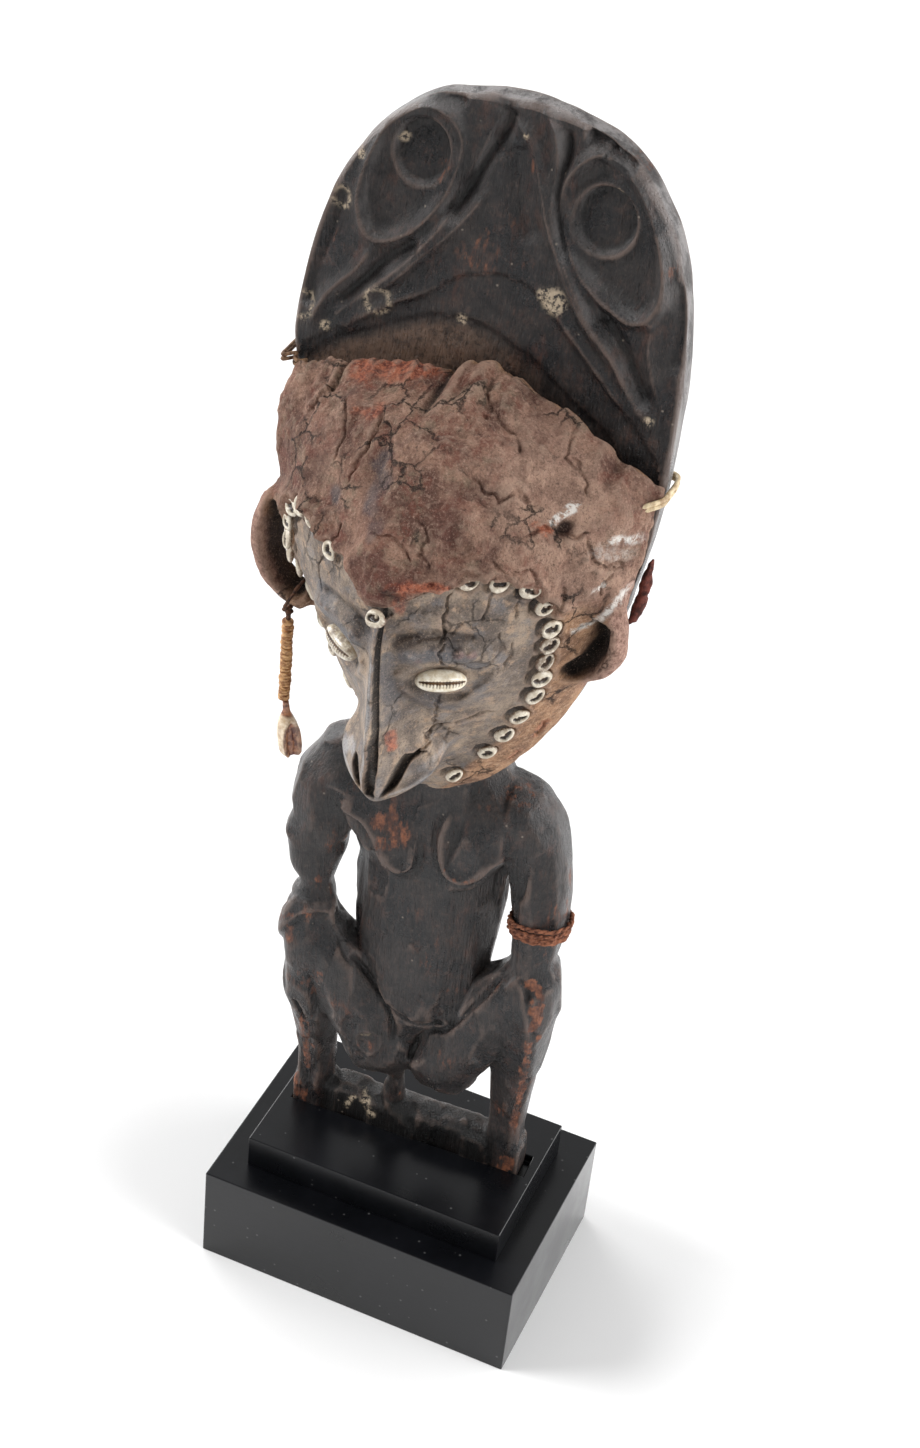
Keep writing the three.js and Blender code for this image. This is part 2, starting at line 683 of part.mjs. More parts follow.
function caneTie({ side, height, reach }) {
  const gap = (fitGap + caneThickness / 2) / part;
  const spare = 0.9;
  const edge = halfWidth(height) + pasteOverhang + gap;
  const board = boardFront(height);
  const back = board + boardThickness / part + gap;
  const frontOf = (x, h) => {
    const onPaste = h < upperEdge(x) + caneWidth / 2;
    return (onPaste ? pasteFront(x, h) : boardFront(h)) - gap - spare;
  };
  const over = [reach, reach / 2, 3.5].map((inset) => {
    const h = height - inset / 4;
    return [edge - inset, frontOf(edge - inset, h), h];
  });
  const route = [
    ...over, [edge + 0.4, board - 6, height], [edge + 0.2, board, height], [edge, back - 4, height],
    [edge - 4, back, height], [edge - 14, back, height - 1],
  ];
  const path = new THREE.CatmullRomCurve3(route.map(([x, y, z]) => at(side * x, y, z)));
  const steps = 13;
  const rings = Array.from({ length: steps + 1 }, (_, i) => {
    const t = i / steps;
    const run = path.getTangentAt(t);
    const outward = vector(0, 0, 0).crossVectors(run, vector(0, 0, 1)).normalize();
    return ovalRing(path.getPointAt(t), vector(0, 0, 1), outward, caneWidth / 2, caneThickness / 2, 5, 2);
  });
  return solid(skin(rings));
}

// A torn strip of red bark caught between the paste and the board on the right
function barkStrip() {
  const course = [
    [317, -13, 1.6, 2.6], [323, -14, 2.6, 3], [331, -15, 2.4, 3], [339, -14, 2, 2.6], [346, -12, 1.2, 2],
  ];
  const outside = pasteOverhang + fitGap / part;
  const stations = course.map(([h, y, halfWide, halfDeep]) => {
    const x = halfWidth(h) + outside + halfWide;
    return [x, y, h, halfWide, halfDeep];
  });
  return solid(skin(limbRings(stations, 6, 2)));
}

// Plinth: a base block and a smaller step block, with a slot for the foot bar

const stepWidth = barLength + 2 * stepMarginSide;
const stepDepth = barDepth + 2 * stepMarginFront;
const plinthWidth = stepWidth + 2 * plinthLedgeSide;
const plinthDepth = stepDepth + 2 * plinthLedgeFront;

function block(width, depth, height, bottom) {
  const box = new THREE.BoxGeometry(width, depth, height);
  box.translate(0, 0, bottom + height / 2);
  return solid(box);
}

function stepBlock() {
  const above = 5;
  const slotLength = barLength + slotSpare + 2 * fitGap;
  const slot = new THREE.BoxGeometry(slotLength, barDepth + 2 * fitGap, barSink + above);
  slot.translate(slotSpare / 2, 0, ground + (above - barSink) / 2);
  slot.rotateZ(footTurn);
  slot.translate(...footShift, 0);
  return block(stepWidth, stepDepth, stepHeight, plinthHeight).subtract(solid(slot));
}

// Assembly

const object = new THREE.Group();

function place(name, manifold, finish) {
  const { vertProperties, triVerts } = manifold.getMesh();
  const geometry = new THREE.BufferGeometry();
  geometry.setAttribute('position', new THREE.BufferAttribute(vertProperties, 3));
  geometry.setIndex(new THREE.BufferAttribute(triVerts, 1));
  const mesh = new THREE.Mesh(geometry, new THREE.MeshStandardMaterial(finish));
  mesh.name = name;
  object.add(mesh);
}

function modelledHead() {
  const pockets = shellGroups.flatMap(({ places }) => places.map((seat) => seated(pocketGeometry(), seat)));
  const eyeSeats = Object.keys(eyePlaces).map((name) => cowrie(name, fitGap));
  const body = joined([pasteBody(), nose(), ...Object.keys(earLobes).map(ear)]);
  return body.subtract(joined([...pockets, ...eyeSeats]));
}

place('plinth_base', block(plinthWidth, plinthDepth, plinthHeight, 0), finishes.blackPaint);
place('plinth_step', stepBlock(), finishes.blackPaint);
place('carved_figure', carvedFigure(), finishes.patinaWood);
place('modelled_head', modelledHead(), finishes.paste);
Object.keys(eyePlaces).forEach((name) => place(`eye_cowrie_${name}`, cowrie(name), finishes.cowrie));
shellGroups.forEach(({ name, places }) => {
  places.forEach((seat, i) => {
    const label = places.length > 1 ? `${name}_${String(i + 1).padStart(2, '0')}` : name;
    place(`shell_${label}`, seated(shellGeometry(), seat, Math.PI / 2), finishes.seaShell);
  });
});
place('earring_thread', earringThread(), finishes.fibre);
place('earring_discs', earringDiscs(), finishes.discShell);
place('earring_pendant', earringPendant(), finishes.cowrie);
place('armband', armband(), finishes.fibre);
Object.entries(ties).forEach(([name, tie]) => place(`cane_tie_${name}`, caneTie(tie), finishes.cane));
place('bark_strip', barkStrip(), finishes.redBark);

export default object;
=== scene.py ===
import itertools
import math

import bmesh
import bpy
import numpy as np
from mathutils import Matrix, Vector
from mathutils.bvhtree import BVHTree


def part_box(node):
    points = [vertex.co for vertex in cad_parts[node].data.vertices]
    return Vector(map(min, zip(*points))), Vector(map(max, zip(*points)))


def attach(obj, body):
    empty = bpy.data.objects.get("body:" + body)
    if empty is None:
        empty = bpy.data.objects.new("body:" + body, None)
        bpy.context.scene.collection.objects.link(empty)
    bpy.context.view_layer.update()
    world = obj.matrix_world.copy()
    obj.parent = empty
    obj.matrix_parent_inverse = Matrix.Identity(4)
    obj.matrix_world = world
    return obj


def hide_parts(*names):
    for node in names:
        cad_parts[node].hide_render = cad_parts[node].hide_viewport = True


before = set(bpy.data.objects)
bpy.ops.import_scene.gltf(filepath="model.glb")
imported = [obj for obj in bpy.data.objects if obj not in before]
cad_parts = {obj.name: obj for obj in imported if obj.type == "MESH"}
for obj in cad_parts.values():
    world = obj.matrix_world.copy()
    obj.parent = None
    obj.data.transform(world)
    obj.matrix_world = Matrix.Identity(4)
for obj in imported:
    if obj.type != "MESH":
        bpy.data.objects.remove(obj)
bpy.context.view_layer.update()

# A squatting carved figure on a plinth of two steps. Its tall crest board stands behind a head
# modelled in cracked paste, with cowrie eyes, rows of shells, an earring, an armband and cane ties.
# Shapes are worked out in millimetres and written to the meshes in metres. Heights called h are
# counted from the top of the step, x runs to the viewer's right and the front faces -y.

MM = 0.001
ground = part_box("plinth_step")[1].z / MM
figure_low, figure_high = (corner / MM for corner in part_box("carved_figure"))
crest_top = figure_high.z - ground
crest_half = (figure_high.x - figure_low.x) / 2


# Meshes and points


def read_row(items, field, size, kind):
    flat = np.empty(len(items) * size, kind)
    items.foreach_get(field, flat)
    return flat.reshape(-1, size)


def read_points(mesh):
    return read_row(mesh.vertices, "co", 3, float) / MM


def write_points(mesh, points):
    mesh.vertices.foreach_set("co", (points * MM).ravel())
    mesh.update()


def read_normals(mesh):
    return read_row(mesh.vertex_normals, "vector", 3, np.float32).astype(float)


def normals_of(mesh, points):
    """Moves the mesh to the points and reads its normals there."""
    write_points(mesh, points)
    return read_normals(mesh)


def read_edges(mesh):
    return read_row(mesh.edges, "vertices", 2, np.int32)


def coordinates(points):
    """x, y and h of the points, and their pairs of x and h."""
    x, y, h = points[:, 0], points[:, 1], points[:, 2] - ground
    return x, y, h, np.stack([x, h], axis=1)


def moved(points, x=0, y=0, h=0):
    shift = np.broadcast_arrays(x, y, h, points[:, 0])[:3]
    return points + np.stack(shift, axis=1)


def neighbour_mean(points, edges):
    count = np.bincount(edges.ravel(), minlength=len(points))
    total = np.empty_like(points)
    first, second = edges.T
    for axis, value in enumerate(points.T):
        total[:, axis] = np.bincount(first, value[second], len(points))
        total[:, axis] += np.bincount(second, value[first], len(points))
    return total / np.maximum(count, 1)[:, None]


def relaxed(points, edges, rounds):
    """Moves each point half way to the mean of its neighbours, again and again."""
    for _ in range(rounds):
        points = points + 0.5 * (neighbour_mean(points, edges) - points)
    return points


def smooth(start, end, value):
    t = np.clip((value - start) / (end - start), 0, 1)
    return t * t * (3 - 2 * t)


def bump(gap, width):
    return np.exp(-((gap / width) ** 2))


# Large odd numbers that scatter the corners of a lattice
corner_steps = (73856093, 19349663, 83492791)
seed_step = 7919
scatter_step = 1274126177


def lattice(corner, seed):
    """A value from -1 to 1 for each corner, the same in each run."""
    across, back, up = (corner[:, axis] * step for axis, step in enumerate(corner_steps))
    mixed = across ^ back ^ up ^ seed * seed_step
    mixed = (mixed ^ (mixed >> 13)) * scatter_step
    mixed = (mixed ^ (mixed >> 16)) & 0xFFFF
    return mixed / 32767.5 - 1


def rumple(points, size, seed):
    """A smooth random field from -1 to 1 with bumps about one size across."""
    cell = points / size
    base = np.floor(cell).astype(np.int64)
    t = cell - base
    ease = t * t * t * (t * (6 * t - 15) + 10)
    total = np.zeros(len(points))
    for corner in itertools.product((0, 1), repeat=3):
        weight = np.prod(np.where(corner, ease, 1 - ease), axis=1)
        total += weight * lattice(base + corner, seed)
    return total


def store(mesh, name, values):
    layer = mesh.attributes.new(name, "FLOAT", "POINT")
    layer.data.foreach_set("value", np.asarray(values, np.float32))


def store_form(mesh, points, near, far):
    """Stores how far each point stands out of its near and its wider surroundings."""
    for name, rounds in (("edge", near), ("broad", far)):
        even = relaxed(points, read_edges(mesh), rounds)
        store(mesh, name, np.sum((points - even) * read_normals(mesh), axis=1))


def mesh_from(bm, name):
    mesh = bpy.data.meshes.new(name)
    bm.to_mesh(mesh)
    bm.free()
    return mesh


def merged_copy(node):
    bm = bmesh.new()
    bm.from_mesh(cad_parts[node].data)
    bmesh.ops.remove_doubles(bm, verts=bm.verts, dist=0.01 * MM)
    return bm


def corners_of(bm):
    return np.array([v.co for v in bm.verts]) / MM


def box_of(node):
    return [np.array(corner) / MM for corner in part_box(node)]


def new_object(name, data):
    piece = bpy.data.objects.new(name, data)
    bpy.context.scene.collection.objects.link(piece)
    return piece


def object_from(bm, name):
    return new_object(name, mesh_from(bm, name))


def settle(piece):
    """Applies a piece's modifiers, or makes a curve a mesh."""
    graph = bpy.context.evaluated_depsgraph_get()
    mesh = bpy.data.meshes.new_from_object(piece.evaluated_get(graph))
    name = piece.name
    bpy.data.objects.remove(piece)
    return new_object(name, mesh)


def remeshed(bm, name, voxel):
    piece = object_from(bm, name)
    remesh = piece.modifiers.new("even mesh", "REMESH")
    remesh.mode = "VOXEL"
    remesh.voxel_size = voxel * MM
    return settle(piece)


def dress(piece, material, nodes, soft_shade=True):
    piece.data.polygons.foreach_set("use_smooth", [soft_shade] * len(piece.data.polygons))
    piece.data.materials.clear()
    piece.data.materials.append(material)
    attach(piece, "root")
    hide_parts(*nodes)
    return piece


# Lines on the board and the face, as x and h


def course(points, loop=False, steps=6):
    """A smooth line through the points, as a dense row of places."""
    p = np.array(points, float)
    if loop:
        p = np.vstack([p[-1], p, p[:2]])
    else:
        p = np.vstack([2 * p[0] - p[1], p, 2 * p[-1] - p[-2]])
    t = np.linspace(0, 1, steps, endpoint=False)[:, None]
    rows = []
    for a, b, c, d in zip(p[:-3], p[1:-2], p[2:-1], p[3:]):
        rows.append(0.5 * (2 * b + (c - a) * t + (2 * a - 5 * b + 4 * c - d) * t**2
                           + (3 * b - a - 3 * c + d) * t**3))
    return np.vstack(rows + [p[-2:-1]])


def closed_course(points, steps=6):
    return course(points, loop=True, steps=steps)[:-1]


def nearest(spots, line):
    """Distance to a line, the share of the line at the nearest place, and the side of it."""
    best = np.full(len(spots), np.inf)
    along = np.zeros(len(spots))
    side = np.ones(len(spots))
    for i, (a, b) in enumerate(zip(line[:-1], line[1:])):
        run = b - a
        reach = spots - a
        t = np.clip((reach @ run) / (run @ run), 0, 1)
        gap = np.hypot(*(reach - t[:, None] * run).T)
        closer = gap < best
        best[closer] = gap[closer]
        along[closer] = (i + t[closer]) / (len(line) - 1)
        side[closer] = np.sign(run[0] * reach[closer, 1] - run[1] * reach[closer, 0])
    return best, along, side


def fade(along, start, end):
    """Full along a line, and fading to nothing at its ends."""
    return smooth(0, start, along) * smooth(1, end, along)


def gap_in_space(points, line, weights=(1, 1, 1)):
    """Distance to a line given in x, y and h."""
    places = np.array(line, float) + (0, 0, ground)
    best = np.full(len(points), np.inf)
    for a, b in zip(places[:-1], places[1:]):
        run = b - a
        t = np.clip((points - a) @ run / (run @ run), 0, 1)
        best = np.minimum(best, np.linalg.norm((points - a - t[:, None] * run) * weights, axis=1))
    return best


def oval(spots, middle, size):
    """Distance from the middle of an oval, in shares of its size."""
    return np.hypot(*((spots - middle) / size).T)


def gap_to(spots, points):
    return nearest(spots, np.array(points, float))[0]


def inside(spots, line):
    x, h = spots.T
    found = np.zeros(len(spots), bool)
    for (x0, h0), (x1, h1) in zip(line, np.roll(line, -1, axis=0)):
        if h0 != h1:
            found ^= ((h0 > h) != (h1 > h)) & (x < (x1 - x0) * (h - h0) / (h1 - h0) + x0)
    return found


def below(spots, line):
    """Whether a spot lies under a line that runs across the board."""
    return inside(spots, np.array(line + [(80, 340), (-80, 340)], float))


def inward(spots, line):
    """Distance to a closed line, positive inside it."""
    gap = gap_to(spots, np.vstack([line, line[:1]]))
    return np.where(inside(spots, line), gap, -gap)


def blots(points, places, seed):
    """Broken patches round the given places: x, y, h, reach and strength."""
    mask = np.zeros(len(points))
    for x, y, h, reach, strength in places:
        gap = np.linalg.norm(points - (x, y, h + ground), axis=1)
        near = gap < 2 * reach
        ragged = gap[near] + 0.6 * reach * rumple(points[near], 0.7 * reach + 1, seed)
        mask[near] = np.maximum(mask[near], strength * smooth(reach, 0.1 * reach, ragged))
    return mask


def streaks(points, lines, seed):
    """Broken marks along the given lines in space."""
    mask = np.zeros(len(points))
    ragged = rumple(points, 2.2, seed)
    for line, reach, strength in lines:
        gap = gap_in_space(points, line) + 0.4 * reach * ragged
        mask = np.maximum(mask, strength * smooth(reach * 1.3, reach * 0.4, gap))
    return mask


# Crest board

# The board is widest at its middle and narrows from there up and down on curves of the given powers.
# Its front leans back above the bend.
crest_middle = 381.4
crest_rise = crest_top - crest_middle
crest_fall = 165
round_top = 2.55
round_jaw = 1.8
board_foot = 235
hidden_top = 376                # up to here the board is behind the head and needs few rows
board_bend = 352
board_base = -16.2
board_lean = 0.175
board_thickness = 14
board_columns, low_rows, high_rows = 184, 46, 168
row_crowding = 1.45             # how much closer the rows stand at the top, in radians of a sine


def board_front(h):
    return board_base + board_lean * np.maximum(h - board_bend, 0)


def half_width(h):
    above = h > crest_middle
    share = np.abs(h - crest_middle) / np.where(above, crest_rise, crest_fall)
    power = np.where(above, round_top, round_jaw)
    return crest_half * (1 - np.minimum(share, 1) ** power) ** (1 / power)


def edge_wear(h, x):
    jaw = 9.5 * smooth(338, 290, h) * smooth(222, 245, h)
    temple = 3.6 * smooth(396, 376, h) * smooth(322, 348, h)
    return np.where(x < 0, jaw + temple, 0)


# Carving of the crest, as x and h. Left and right differ, as they were cut by eye. Ridges have a height,
# valleys a depth and a width, tears are closed lines, and discs have a middle and half their width and height.
ridges = [
    ([(-9, 487), (-13, 475), (-17, 465), (-22, 448), (-29, 437), (-36, 428), (-45, 418), (-58, 404)], 2.0),
    ([(-9, 460), (-14, 452), (-21, 442), (-29, 433), (-36, 424), (-42, 417)], 1.4),
    ([(-48, 431), (-53, 422), (-60, 414), (-65, 406), (-68, 397)], 1.7),
    ([(-57, 398), (-47, 406), (-36, 414), (-24, 421)], 0.9),
    ([(8, 493), (12, 488), (15, 478), (15, 468), (17, 458), (23, 447), (32, 433), (39, 424), (48, 415),
      (56, 405), (64, 397)], 1.9),
    ([(-6, 488), (4, 483), (11, 467), (16, 455), (22, 445), (29, 434), (36, 425), (42, 417)], 1.6),
    ([(26, 424), (36, 415), (45, 407), (56, 398)], 1.0),
    ([(58, 434), (59, 428), (60, 420), (66, 406)], 1.3),
    ([(54, 465), (58, 456), (61, 443), (60, 435)], 1.1),
]
tears = [
    [(-34, 485), (-25, 483), (-20, 476), (-21, 465), (-25, 453), (-34, 441), (-44, 435), (-51, 436),
     (-55, 443), (-56, 451), (-53, 465), (-46, 479)],
    [(29, 484), (20, 475), (18, 464), (22, 454), (28, 445), (35, 438), (44, 433), (51, 431), (57, 434),
     (60, 443), (58, 455), (50, 470), (40, 481)],
]
discs = [(-35, 468.5, 10.2, 11.5), (35, 462, 10.8, 11.5)]
valleys = [
    ([(-3, 492), (-7, 483), (-13, 470), (-18, 458), (-24, 446)], 2.6, 3.4),
    ([(-30, 438), (-40, 429), (-50, 418), (-60, 405)], 1.4, 3.6),
    ([(16, 490), (17, 480), (16.5, 468), (19.5, 456), (26, 443)], 1.8, 2.2),
    ([(38, 431), (46, 424), (56, 411), (63, 401)], 1.4, 3.0),
    ([(22, 489), (33, 488), (44, 481)], 2.2, 3.4),
    ([(-20, 489), (-34, 489), (-46, 483)], 1.2, 2.6),
    ([(66, 450), (68, 435), (69, 415)], 1.1, 3.0),
    ([(-62, 452), (-65, 435), (-70, 412), (-69, 402)], 1.4, 3.2),
    ([(-2, 480), (2, 470), (5, 458), (12, 447)], 0.9, 5.0),
]
arch = [
    (-70, 389), (-57, 399), (-47, 406), (-36, 414), (-24, 421), (-13, 430), (0, 434), (13, 432), (26, 422),
    (36, 414), (46, 406), (57, 396), (70, 384),
]
low_band = [
    (-67, 387), (-57, 395), (-44, 402), (-33, 408), (-22, 413), (-8, 415), (8, 411), (18, 407), (29, 400),
    (41, 393), (51, 388),
]


# Chips at the board's edge: x, h, size and depth
crest_chips = [(36, 490, 4.2, 1.6), (-7, 495, 5, 2.0), (29, 492, 3, 0.8), (74, 440, 3, 0.6)]
top_split = [(31, 484), (34, 487), (38, 489), (40, 494)]

# Pale stains on the crest: x, h, reach, and whether it is a ring
stains = [(22, 430, 6.2, False), (-43, 413, 4.6, True), (-11, 414, 2.6, False), (-63, 445, 3.6, True),
          (-57, 463, 2.4, False), (-72, 403, 4.2, True), (-43, 471, 2.4, False), (-62, 398, 2.6, False),
          (2, 484, 1.6, False), (64, 398, 2.4, False), (38, 473, 1.6, False), (18, 431, 3.6, False)]

# Reddish wear on the crest: x, y, h, reach and strength
crest_wear = [
    (40, 2, 489, 9, 1.0), (34, 2, 484, 6, 0.9), (-53, -8, 452, 6, 0.5), (-44, -2, 478, 7, 0.5),
    (-28, 2, 464, 8, 0.85), (-36, -4, 446, 7, 0.7), (30, -8, 440, 8, 0.7), (6, 2, 474, 8, 0.45),
    (30, -2, 455, 7, 0.7), (2, 0, 456, 12, 0.6), (-8, -5, 440, 11, 0.5), (8, -5, 442, 10, 0.5),
    (18, 4, 488, 7, 0.5), (62, 0, 452, 8, 0.6), (-66, -5, 430, 7, 0.4), (-25, 5, 492, 8, 0.5),
    (-50, -14, 404, 10, 0.35), (10, -12, 410, 10, 0.3), (72, -2, 410, 7, 0.6), (56, 0, 400, 8, 0.25),
    (56, 5, 468, 9, 0.7), (-70, -4, 400, 6, 0.6), (46, 12, 484, 8, 0.8),
]


def crest_relief(spots):
    """How far the carving stands out of the board's face."""
    rise = np.zeros(len(spots))
    for points, depth, width in valleys:
        gap, along, _ = nearest(spots, course(points))
        rise -= 2.0 * depth * bump(gap, width) * fade(along, 0.12, 0.85)
    for points, height in ridges:
        gap, along, _ = nearest(spots, course(points))
        rise += 1.5 * height * (0.35 + 0.65 * fade(along, 0.1, 0.8)) * np.maximum(1 - gap / 4.6, 0) ** 1.5
    for points in tears:
        deep = inward(spots, closed_course(points))
        rise += 2.5 * np.maximum(1 - np.abs(deep) / 4.0, 0) ** 1.5 - 2.0 * smooth(0.5, 8, deep)
    for middle_x, middle_h, wide, high in discs:
        across, up = ((spots - (middle_x, middle_h)) / (wide, high)).T
        gap = (np.hypot(across, up) - 1) * wide
        hollow = 0.7 + 0.21 * (across + up)
        rise += 1.2 * bump(gap - 1.2, 1.6) - 2.8 * hollow * smooth(0.6, -0.8, gap)
    for line, depth in ((arch, 1.2), (low_band, 1.0)):
        gap = gap_to(spots, course(line))
        rise -= depth * smooth(-1.6, 1.6, np.where(below(spots, line), gap, -gap))
    return rise


def stain_mask(spots):
    mask = np.zeros(len(spots))
    for x, h, reach, ring in stains:
        gap = oval(spots, (x, h), 1)
        mask = np.maximum(mask, 0.8 * bump(gap - reach, 0.9) if ring else smooth(reach, reach * 0.5, gap))
    return mask


def board_grid():
    """A slab of even squares, its front at depth 0 and its back at depth 1."""
    bm = bmesh.new()
    bmesh.ops.create_grid(bm, x_segments=board_columns, y_segments=low_rows + high_rows, size=0.5)
    back = bmesh.ops.extrude_face_region(bm, geom=bm.faces[:], use_keep_orig=True)
    back = [v for v in back["geom"] if isinstance(v, bmesh.types.BMVert)]
    bmesh.ops.translate(bm, verts=back, vec=(0, 0, 1))
    across = [e for e in bm.edges if abs(e.verts[0].co.z - e.verts[1].co.z) > 0.5]
    bmesh.ops.subdivide_edges(bm, edges=across, cuts=11, use_grid_fill=True)
    mesh = mesh_from(bm, "crest_board")
    u, row, depth = (read_points(mesh) * MM).T
    return mesh, 2 * u, row + 0.5, depth


def crest_board():
    """The tall board, with its carving on the front and knife marks all round."""
    mesh, u, row, depth = board_grid()
    bend = low_rows / (low_rows + high_rows)
    low = board_foot + (hidden_top - board_foot) * row / bend
    rising = np.sin(np.clip((row - bend) / (1 - bend), 0, 1) * row_crowding) / np.sin(row_crowding)
    h = np.where(row < bend, low, hidden_top + (crest_top - 0.1 - hidden_top) * rising)
    x = u * np.maximum(half_width(h) - edge_wear(h, u), 1)
    # The edge is rounded at the front and drawn in further towards the back
    front_inset = 1.7 * (1 - np.minimum(depth / 0.14, 1)) ** 2
    back_inset = (3.0 + 2.6 * smooth(400, 470, h)) * smooth(0.6, 1, depth) ** 1.3
    shrink = 1 - np.where(depth < 0.5, front_inset, back_inset) / 90
    x = x * shrink
    h = crest_middle + (h - crest_middle) * shrink
    y = board_front(h) + board_thickness * depth
    front = smooth(0.14, 0, depth)
    rim = smooth(0, 0.2, depth) * smooth(1, 0.85, depth)
    places = np.stack([x, y, h], axis=1)
    knife = 0.4 * rumple(places * (1, 1, 0.6), 9, 3) + 0.16 * rumple(places, 3.2, 4)
    y = y - front * (crest_relief(places[:, ::2]) + knife)
    y = y + smooth(0.9, 1, depth) * (1.1 * rumple(places * (1, 1, 0.35), 15, 5) - 0.8)
    for chip_x, chip_h, size, cut in crest_chips:
        near = cut * bump(np.hypot(x - chip_x, h - chip_h), size)
        y = y + front * near
        h = h - near * smooth(0.9, 0.0, depth)
    h = h - 0.9 * smooth(crest_top - 7, crest_top, h) * np.minimum(np.abs(x + 2) / 12, 1) ** 2
    y = y + front * 1.6 * bump(gap_to(np.stack([x, h], axis=1), top_split), 0.7)
    push = 0.5 * rumple(places, 11, 6) * rim
    x = x + push * np.sign(u) * np.abs(u)
    h = h + push * smooth(430, 480, h)
    write_points(mesh, np.stack([x, y, h + ground], axis=1))
    bm = bmesh.new()
    bm.from_mesh(mesh)
    bmesh.ops.recalc_face_normals(bm, faces=bm.faces)
    bm.to_mesh(mesh)
    bm.free()
    points = read_points(mesh)
    store_form(mesh, points, 6, 40)
    spots = np.stack([x, h], axis=1)
    dusty_left = 0.12 + 0.88 * smooth(26, -20, x + 6 * rumple(places, 9, 8))
    store(mesh, "stain", front * stain_mask(spots))
    store(mesh, "dust_and_highlight", front * below(spots, low_band) * dusty_left * smooth(0, 6, gap_to(spots, low_band)))
    store(mesh, "worn", blots(points, crest_wear, 7))
    # Painted sheen: faces of the board that turn sideways or up, most those turned right and up and less on
    # the carved front, are stored as rim and lightened grey in the wood's colour.
    side, _, up = read_normals(mesh).T
    turned = 0.45 + 0.55 * smooth(-0.3, 0.5, side + 0.6 * up)
    store(mesh, "rim", smooth(0.45, 0.9, np.hypot(side, up)) * turned * (1 - 0.62 * front))
    return new_object("crest_board", mesh)


# Body

neck_split = 233
neck_middle = Vector((0, -3.5, 226))
neck_size = Vector((23, 13, 38))
body_voxel = 1.0


def scattered(points, spacing, seed):
    """Picks points at random that keep at least the spacing from each other."""
    order = np.random.default_rng(seed).permutation(len(points))[:6000]
    kept = []
    for index in order:
        if not kept or np.min(np.sum((points[kept] - points[index]) ** 2, axis=1)) > spacing**2:
            kept.append(index)
    return np.array(kept)


def nearest_index(points, sites):
    best = np.full(len(points), np.inf)
    index = np.zeros(len(points), int)
    for i, site in enumerate(sites):
        gap = np.sum((points - site) ** 2, axis=1)
        closer = gap < best
        best[closer] = gap[closer]
        index[closer] = i
    return index


def knife_facets(points, normals, spacing, stretch, strength, seed):
    """Flattens the surface towards planes, as a carver's cuts leave it."""
    measured = points * (1, 1, stretch)
    sites = scattered(measured, spacing, seed)
    index = nearest_index(measured, measured[sites])
    flat = normals[sites][index]
    rise = np.sum((points - points[sites][index]) * flat, axis=1)
    return points - flat * (strength * np.clip(rise, -1.5, 1.5) + 0.15)[:, None]


# Ridges and creases on the body's front, as lines of x and h with a height or depth and a width. The
# form inside a ridge stands higher.
body_ridges = [
    ([(-39, 196), (-32, 192.6), (-24, 190), (-19.4, 185), (-16.5, 177.5), (-12, 172), (-7.4, 169.3),
      (-3.8, 173), (-3, 184), (-4, 192)], 2.5, 1.4),
    ([(11, 205), (8.4, 197), (7.6, 188), (9.4, 179.5), (13.3, 174), (19, 173), (25, 178), (30, 185),
      (38, 190)], 2.0, 1.3),
]
body_creases = [
    ([(-34, 125), (-27, 115), (-21, 107), (-13, 96), (-7.2, 86), (-6, 78), (-5.4, 68)], 1.5, 1.2),
    ([(41, 129), (34, 115), (28, 104), (18.5, 87), (10, 80), (5.5, 73), (3, 64), (2, 56)], 1.5, 1.2),
    ([(-14, 98), (-9, 92.5), (-4.3, 89.4), (3, 86.6), (10, 86.4), (18, 89)], 1.3, 1.0),
    ([(47.5, 131), (52, 125), (55.5, 112), (57, 97)], 0.9, 1.2),
    ([(-50, 79), (-48.6, 72), (-47, 62)], 1.8, 0.7),
    ([(-42, 100), (-41, 85), (-42, 66)], 0.6, 1.1),
]
left_kneecap = [
    (-58, 112), (-55, 119), (-51.7, 126), (-45, 134), (-39, 133), (-34, 127), (-33, 145), (-58, 146),
]

# Reddish wear on the body: x, y, h, reach and strength
body_wear = [
    (-13, -21, 190, 11, 1.15), (-17, -23, 184, 8, 0.9), (-12, -20, 206, 7, 0.5), (48, -8, 195, 14, 0.5),
    (52, -2, 176, 10, 0.6), (55, -6, 162, 14, 0.7), (54, -6, 148, 12, 0.6), (30, -2, 218, 12, 0.6),
    (20, -10, 212, 12, 0.4), (-2, -12, 218, 12, 0.5), (-45, -10, 190, 14, 0.3), (52, -9, 60, 16, 0.55),
    (50, -8, 36, 18, 0.6), (-55, -28, 121, 9, 0.7), (-40, -25, 134, 8, 0.6), (-36, -18, 168, 12, 0.6),
    (-41, -15, 150, 12, 0.5), (-50, -18, 96, 20, 0.5), (-50, -15, 60, 20, 0.55), (-47, -12, 36, 16, 0.5),
    (-6, -3, 22, 9, 0.6), (-3, -10, 40, 9, 0.4), (10, -18, 128, 18, 0.45), (14, -18, 108, 14, 0.45),
    (4, -18, 150, 16, 0.35), (20, -20, 72, 14, 0.45), (-15.4, -21, 67, 7, 0.9), (36, -8, 8, 12, 0.3),
    (-26, -8, 10, 10, 0.3), (-30, -24, 88, 14, 0.45), (40, -18, 128, 12, 0.4), (30, -16, 100, 16, 0.35),
]
